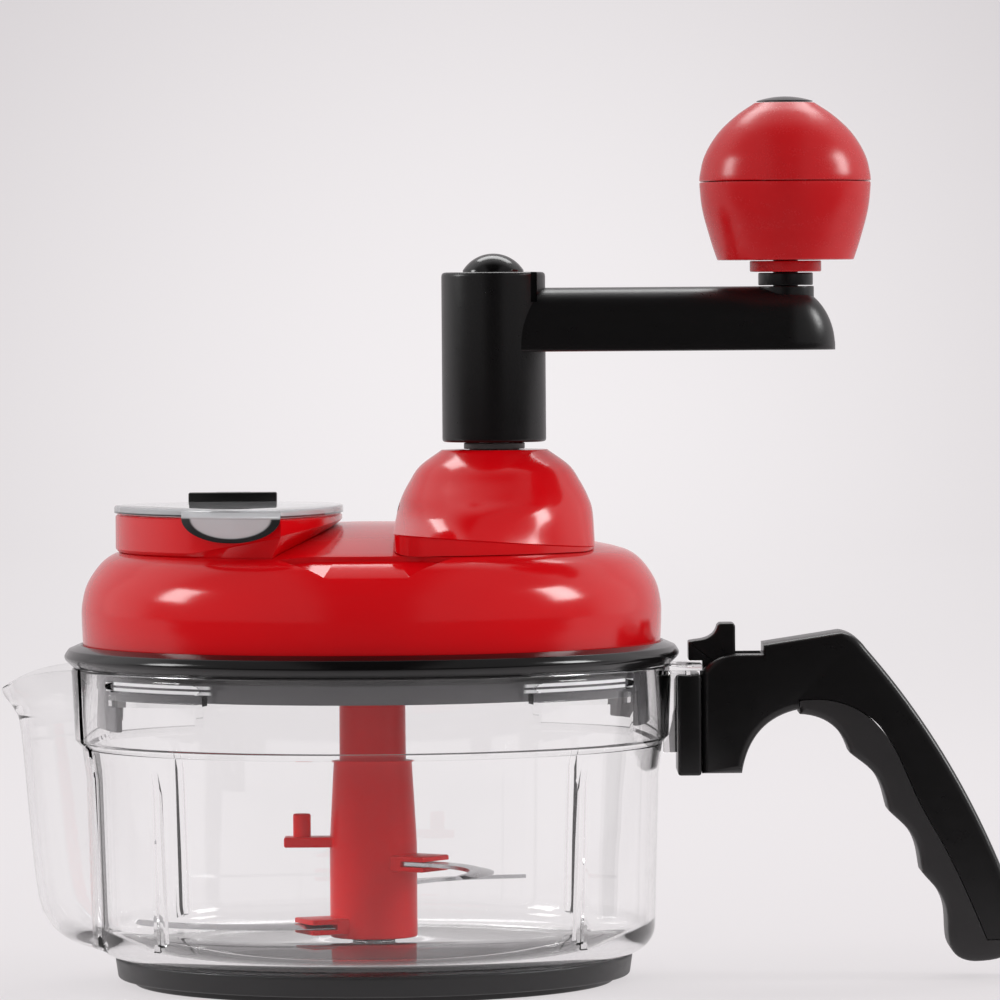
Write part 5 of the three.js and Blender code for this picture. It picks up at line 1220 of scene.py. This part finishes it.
def makeFlap():
    f, c, h = feed, flap, hinge
    low, high, edge = c.low, c.high, c.edge
    turns = spaced(0, pi / 2, c.edgeSteps)
    levels = [(low, edge / 2), (low + edge / 3, 0)]
    levels += [(high - edge * (1 - sin(a)), edge * (1 - cos(a))) for a in turns]
    plate = lofted("feedFlap", [feedRing(z, d - c.over) for z, d in levels])
    near = f.high.reach + c.over
    top, thick = high - edge, c.thick
    sheet = turned("lipSheet", [
        (near - thick, top), (near - thick, top - thick), (near, top - thick, 1.5),
        (near + c.flare, top - c.drop, 0.4), (near + c.flare + thick, top - c.drop, 0.4),
        (near + thick, top - thick, 2), (near, top, 0.6)], shared.fineSides)
    tongue = [(c.lipX + p.x * c.lipHalf, top - thick + p.y * (c.drop - thick))
              for p in arc(0, 0, 1, 0, -pi, c.lipSteps)]
    cut = slab("tongue", tongue + [(c.lipX - c.lipHalf, top + gap), (c.lipX + c.lipHalf, top + gap)],
               f.high.right - f.high.left)
    combined(sheet, moved(cut, y=-f.high.reach), operation="INTERSECT")
    hole = disc("hole", 1, -2 * overrun, 2 * overrun, sides=c.holeSides)
    hole.data.transform(Matrix.Diagonal((c.holeHalf, c.holeDepth, 1, 1)))
    left, right = h.x - h.block, h.x + h.block
    back = h.y - h.blockGap
    front = back - h.blockDepth
    seat = block(
        "seat", left - gap, right + gap, front - gap, back + overrun, c.seatLow - gap, high + overrun)
    carved(combined(plate, sheet), moved(hole, c.lipX, c.holeY, low), seat)
    placed(plate, "feed_cover", ["feed_cover"], coverFinish(), 30)
    bar = block("hingeBlock", left, right, front, back, h.low, h.high)
    foot = block("hingeFoot", left, right, front, back - c.seatIn, c.seatLow, h.low + gap)
    arm = block(
        "hingeArm", h.x - h.knuckleHalf, h.x + h.knuckleHalf, back - h.blockGap, h.y, h.low, h.high)
    softened(combined(bar, foot, arm), h.edge)
    combined(bar, hingeRound("hingeKnuckle", h.knuckle, h.knuckleHalf))
    carved(bar, hingeRound("hingeHole", h.pin + gap, h.block))
    placed(bar, "feed_cover", ["hinge_block"], blackPlastic)


makeLidRim()
makeLidShell()
makeDome()
makeChute()
makeCoverScrews()
makeFlap()
print("lid made")

# crank and knob

crank = Settings(
    bottom=175.7, top=230.2, radius=16.7, edge=0.9, wall=2.4, socket=8.6, cavityTop=201.6, armZ=204.6,
    armHeight=20.5, armHalf=14.2, reach=94, over=15.8, buttonBore=10.4, buttonBoreZ=207.6, hex=5.9,
    hexTop=198.9, armEdge=0.9, underShare=0.3, lip=1, bossEdge=0.4, endSteps=20, sectionSteps=40,
    tipShare=0.08, endShare=0.05, powerShare=0.77, notchNear=12, notchFar=14, notchDepth=9.6,
    notchInner=8,
)
button = Settings(radius=9.8, rise=5.4, bottom=216.6, travel=2.5, rim=0.6, steps=20)
spring = Settings(wire=0.55, radius=6.6, turns=3)
knob = Settings(
    spindle=8.8, flange=225.4, spindleTop=229.4, pin=4, tail=210.6,
    collar=11.5, collarTop=233.2, bottom=233.5, wall=2.4, hub=7.2, cap=9,
    capRise=1.75, capSteps=12, slack=0.4, seam=0.3, room=1, steps=6,
    lowRises=[0, 4.4, 9.1, 13.8, 18.5, 25], lowRadii=[21.9, 23.4, 24.8, 26.1, 27, 27.6],
    highRises=[25.3, 27.9, 32.6, 37.3, 42, 46.7, 50.45],
    highRadii=[27.6, 27.3, 26.2, 23.9, 20.4, 15.2, 9.6],
)


def makeArm():
    c = crank
    x, y = crankPlace
    start = x + c.reach
    power = c.powerShare
    ends = [sin(a) for a in spaced(0, pi / 2, c.endSteps)]
    stations = [(x, 0), (x + c.reach / 2, 0)] + [(start + c.over * s, s) for s in ends]
    rings = []
    for at, into in stations:
        fade = max(c.tipShare, sqrt(max(0, 1 - into ** 2)))
        half = c.armHalf * fade
        height = c.armHeight * (c.endShare + (1 - c.endShare) * fade)
        edge = min(c.armEdge, half / 3, height / 3)
        ring = []
        for a in spaced(0, pi, c.sectionSteps):
            side = copysign(abs(cos(a)) ** power, cos(a))
            rise = max(0, sin(a)) ** power
            ring.append((at, y - half * side, c.armZ + max(edge, height * rise)))
        flat = half - edge
        under = edge * c.underShare
        ring += [(at, y + half - under, c.armZ + under), (at, y + flat, c.armZ), (at, y - flat, c.armZ),
                 (at, y - half + under, c.armZ + under)]
        rings.append(ring)
    return lofted("arm", rings)


def makeCrank():
    c, k = crank, knob
    x, y = crankPlace
    sleeve = turned("crankArm", [
        (0, c.bottom), (c.radius, c.bottom, 1.1), (c.radius, c.top, 1.4),
        (c.buttonBore + c.lip, c.top, 0.4), (0, c.top)], x=x, y=y)
    cavity = carved(disc("cavity", c.radius - c.wall, c.bottom - overrun, c.cavityTop, x, y),
                    disc("core", c.socket, c.bottom - 2 * overrun, c.cavityTop + overrun, x, y))
    socket = disc("socket", c.hex, c.bottom - overrun, c.hexTop, x, y, 6)
    bore = disc("bore", c.buttonBore, c.buttonBoreZ, c.top + overrun, x, y)
    notch = block("notch", x + c.notchNear, x + c.notchFar, y - c.radius - overrun, y - c.notchInner,
                  c.top - c.notchDepth, c.top + overrun)
    knobX, bossTop = x + c.reach, c.armZ + c.armHeight
    boss = disc("boss", k.spindle + gap, c.armZ + c.wall, bossTop, knobX, y, edge=c.bossEdge)
    pinHole = disc("pinHole", k.pin + gap, k.tail - gap, bossTop + overrun, knobX, y)
    carved(combined(sleeve, makeArm(), boss), cavity, socket, bore, pinHole, notch)
    placed(sleeve, "crank", ["crank_arm"], blackPlastic, 30)


def makeButton():
    b, c, s = button, crank, spring
    x, y = crankPlace
    low = c.top + b.rim
    reach = s.radius + 2 * s.wire
    ball = (b.radius ** 2 + b.rise ** 2) / (2 * b.rise)
    centre = low + b.rise - ball
    cap = arc(0, centre, ball, atan2(low - centre, b.radius), pi / 2, b.steps)
    body = turned("releaseButton", [
        (0, b.bottom), (reach, b.bottom), (reach, low - c.edge - 2 * b.travel),
        (b.radius, low - 2 * b.travel, 0.4), (b.radius, low)]
        + [tuple(p) for p in cap[1:-1]] + [(0, low + b.rise)], shared.midSides, x, y)
    placed(body, "button", ["release_button"], blackGloss, 40)
    start, length = c.buttonBoreZ + gap, b.bottom - c.buttonBoreZ - 2 * gap
    wire = coil("buttonCoil", s.radius, s.wire, start, start + length, s.turns)
    placed(moved(wire, x, y), "crank", ["button_spring"], plainSteel)
    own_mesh(wire)


# a smooth shell between two heights of the knob, open at the parting line
def knobShell(name, rises, radii, closedAtTop):
    k, x, y = knob, crankPlace[0] + crank.reach, crankPlace[1]
    inner = k.pin + k.slack
    outer = [(r, k.bottom + z) for z, r in zip(rises, radii)]
    if closedAtTop:
        outer.reverse()
    way = -1 if closedAtTop else 1
    line = [tuple(p) for p in through(outer, k.steps)]
    end, parting = outer[0][1], outer[-1][1]
    shut = end + way * k.wall * (2 if closedAtTop else 1)
    inside = [
        (r - k.wall, z) for r, z in line if (z - shut) * way > k.room and r - k.wall > k.hub + k.room]
    line[-1] = (line[-1][0] - k.seam, line[-1][1])
    line.insert(-1, (line[-2][0], line[-1][1] - way * k.seam))
    profile = [(inner, end), (line[0][0], line[0][1], 0.5)] + line[1:]
    profile += inside[::-1] + [(k.hub, shut), (k.hub, parting), (inner, parting)]
    return turned(name, profile, x=x, y=y)


def makeKnob():
    k, c = knob, crank
    x, y = crankPlace[0] + c.reach, crankPlace[1]
    capZ = k.bottom + k.highRises[-1] + gap
    top = capZ + k.capRise - 2 * k.wall
    spindle = turned("knobSpindle", [
        (0, k.tail), (k.pin, k.tail), (k.pin, k.flange),
        (k.spindle, k.flange, 0.4), (k.spindle, k.spindleTop, 0.5),
        (k.pin, k.spindleTop), (k.pin, top), (0, top)], shared.midSides, x, y)
    placed(spindle, "crank", ["knob_spindle"], blackPlastic)
    inner = k.pin + k.slack
    low = k.spindleTop + gap
    collar = turned("knobCollar", [
        (inner, low), (k.collar, low, 0.5), (k.collar, k.collarTop, 0.4),
        (inner, k.collarTop)], shared.midSides, x, y)
    placed(collar, "knob", ["knob_collar"], redSatin)
    upper = knobShell("knobTop", k.highRises, k.highRadii, True)
    placed(upper, "knob", ["knob_upper"], redSatin)
    lower = knobShell("knobBase", k.lowRises, k.lowRadii, False)
    placed(lower, "knob", ["knob_lower"], redSatin)
    lens = bend((k.cap, capZ + gap), (k.cap / 2, capZ + k.capRise), (0, capZ + k.capRise), k.capSteps)
    cap = turned(
        "knobCap", [(0, capZ), (k.cap, capZ)] + [tuple(p) for p in lens], shared.midSides, x, y)
    placed(cap, "knob", ["knob_cap"], blackGloss)


makeCrank()
makeButton()
makeKnob()
print("crank and knob made")

# solids that keep their own mesh

kept = {
    "gear_cover": blackPlastic, "pinion_bushing": gearPlastic, "pinion_pin": plainSteel,
    "crank_shaft": plainSteel, "drive_gear": gearPlastic, "shaft_clip": plainSteel,
    "pinion_gear": gearPlastic,
}
for node, material in kept.items():
    solid = frame["nodes"][node]
    solid.data.materials.clear()
    solid.data.materials.append(material)

# floor, light and camera

studio = Settings(
    pale=(0.955, 0.925, 0.938), dim=(0.66, 0.628, 0.642), spot=(0.042, 4.9, 0.09),
    spotSize=(1.06, 9, 1.06), surround=(0.89, 0.872, 0.882), diffuseLight=0.85,
    throughLight=0.9, frontGloss=0.32, backGloss=0.9, gapX=(0.2, 0.42), behindY=(-0.1, 0.35),
    darkY=(-0.1, -0.35), darkLevel=0.05, glowShare=0.8, grain=4, grainShare=0.01,
    paperRoughness=0.85, sweepSteps=24,
    floorHalf=6.0, floorFront=4.0, floorDeep=4.0, sweep=1.5, sweepHigh=4.5,
    camera=(0.042, -2.34, 0.221), tilt=-1.585, roll=-0.4, lens=259.2, sensor=36,
    clipEnd=30,
)
lamps = {
    "left": ((-1.5, -0.1, 0.85), (0, 0, 0.16), (0.4, 0.55), 7),    # place, aim, size, watts
    "right": ((1.5, -0.1, 0.85), (0, 0, 0.16), (0.4, 0.55), 9),
    "top": ((0.1, 0.9, 1.45), (0, 0, 0.12), (1.4, 0.5), 10),
}


def makeStage():
    s = studio
    finish = Finish("floorPaper")
    grain = finish.noise(s.grain, 3.0)
    # the backdrop's colour is painted lighter round a spot and dimmer away from it: a painted pool of
    # light
    spot = [-at / size for at, size in zip(s.spot, s.spotSize)]
    where = finish.node("Mapping", {
        "Vector": finish.place, "Location": spot, "Scale": [1 / size for size in s.spotSize]})[0]
    near = finish.node("TexGradient", {"Vector": where}, gradient_type="SPHERICAL")[0]
    shade = finish.blend(
        finish.step(near + (grain - 0.5) * s.grainShare, 0, 1), tone(*s.dim), tone(*s.pale))
    paper = finish.shader({"Base Color": shade, "Roughness": s.paperRoughness})
    glow = finish.flat("Emission", shade)
    rays = finish.rays("Is Camera Ray", "Is Transmission Ray", "Is Glossy Ray")
    lit = finish.mixed(rays * s.glowShare, paper, glow)
    # gloss finds the room dark in front of the object, but not from inside clear plastic
    dark = finish.flat("Emission", tone(*s.dim, s.darkLevel))
    share = finish.rays("Is Glossy Ray") * finish.step(finish.parts(finish.place)["Y"], *s.darkY)
    material = finish.close(finish.mixed(share * (1 - finish.pastGlass()), lit, dark))
    half, deep, turn, tall = s.floorHalf, s.floorDeep, s.sweep, s.sweepHigh
    line = [(-s.floorFront, 0)] + [
        (deep + turn * sin(a), turn * (1 - cos(a))) for a in spaced(0, pi / 2, s.sweepSteps)]
    line.append((deep + turn, tall))
    mesh = bpy.data.meshes.new("floor")
    points = [(x, y, z) for y, z in line for x in (-half, half)]
    faces = [(2 * i, 2 * i + 1, 2 * i + 3, 2 * i + 2) for i in range(len(line) - 1)]
    mesh.from_pydata(points, [], faces)
    mesh.polygons.foreach_set("use_smooth", [True] * len(faces))
    mesh.materials.append(material)
    linked("floor", mesh)


# what gloss shows: the pale backdrop behind, and two soft panels beside a dark gap in front
def makeWorld():
    s = studio
    finish = Finish("studioWorld", world=True)
    way = finish.parts(finish.place)
    behind = finish.step(way["Y"], *s.behindY) * s.backGloss
    level = highest(behind, finish.step(abs(way["X"]), *s.gapX) * s.frontGloss)
    diffuse, gloss, passing = [finish.flat("Background", tone(*s.surround), Strength=strength)
                               for strength in (s.diffuseLight, level, s.throughLight)]
    room = finish.mixed(finish.rays("Is Glossy Ray"), diffuse, gloss)
    past = highest(finish.rays("Is Transmission Ray"), finish.pastGlass())
    room = finish.mixed(past, room, passing)
    far = finish.flat("Background", tone(*s.dim))
    scene.world = finish.close(finish.mixed(finish.rays("Is Camera Ray"), room, far))


def makeLamp(name, place, aim, size, power):
    lamp = bpy.data.lights.new(name, "AREA")
    lamp.shape = "RECTANGLE"
    lamp.size, lamp.size_y = size
    lamp.energy = power
    obj = linked(name, lamp)
    obj.location = place
    way = Vector(aim) - Vector(place)
    obj.rotation_euler = way.to_track_quat("-Z", "Y").to_euler()


def makeCamera():
    s = studio
    data = bpy.data.cameras.new("camera")
    data.lens = s.lens
    data.sensor_width = s.sensor
    data.clip_end = s.clipEnd
    camera = linked("camera", data)
    camera.location = s.camera
    aim = Matrix.Rotation(radians(90 + s.tilt), 4, "X")
    camera.rotation_euler = (aim @ Matrix.Rotation(radians(s.roll), 4, "Z")).to_euler()
    scene.camera = camera


makeStage()
makeWorld()
for name, (place, aim, size, power) in lamps.items():
    makeLamp(name, place, aim, size, power)
makeCamera()
scene.view_settings.view_transform = "Standard"
print("studio made")
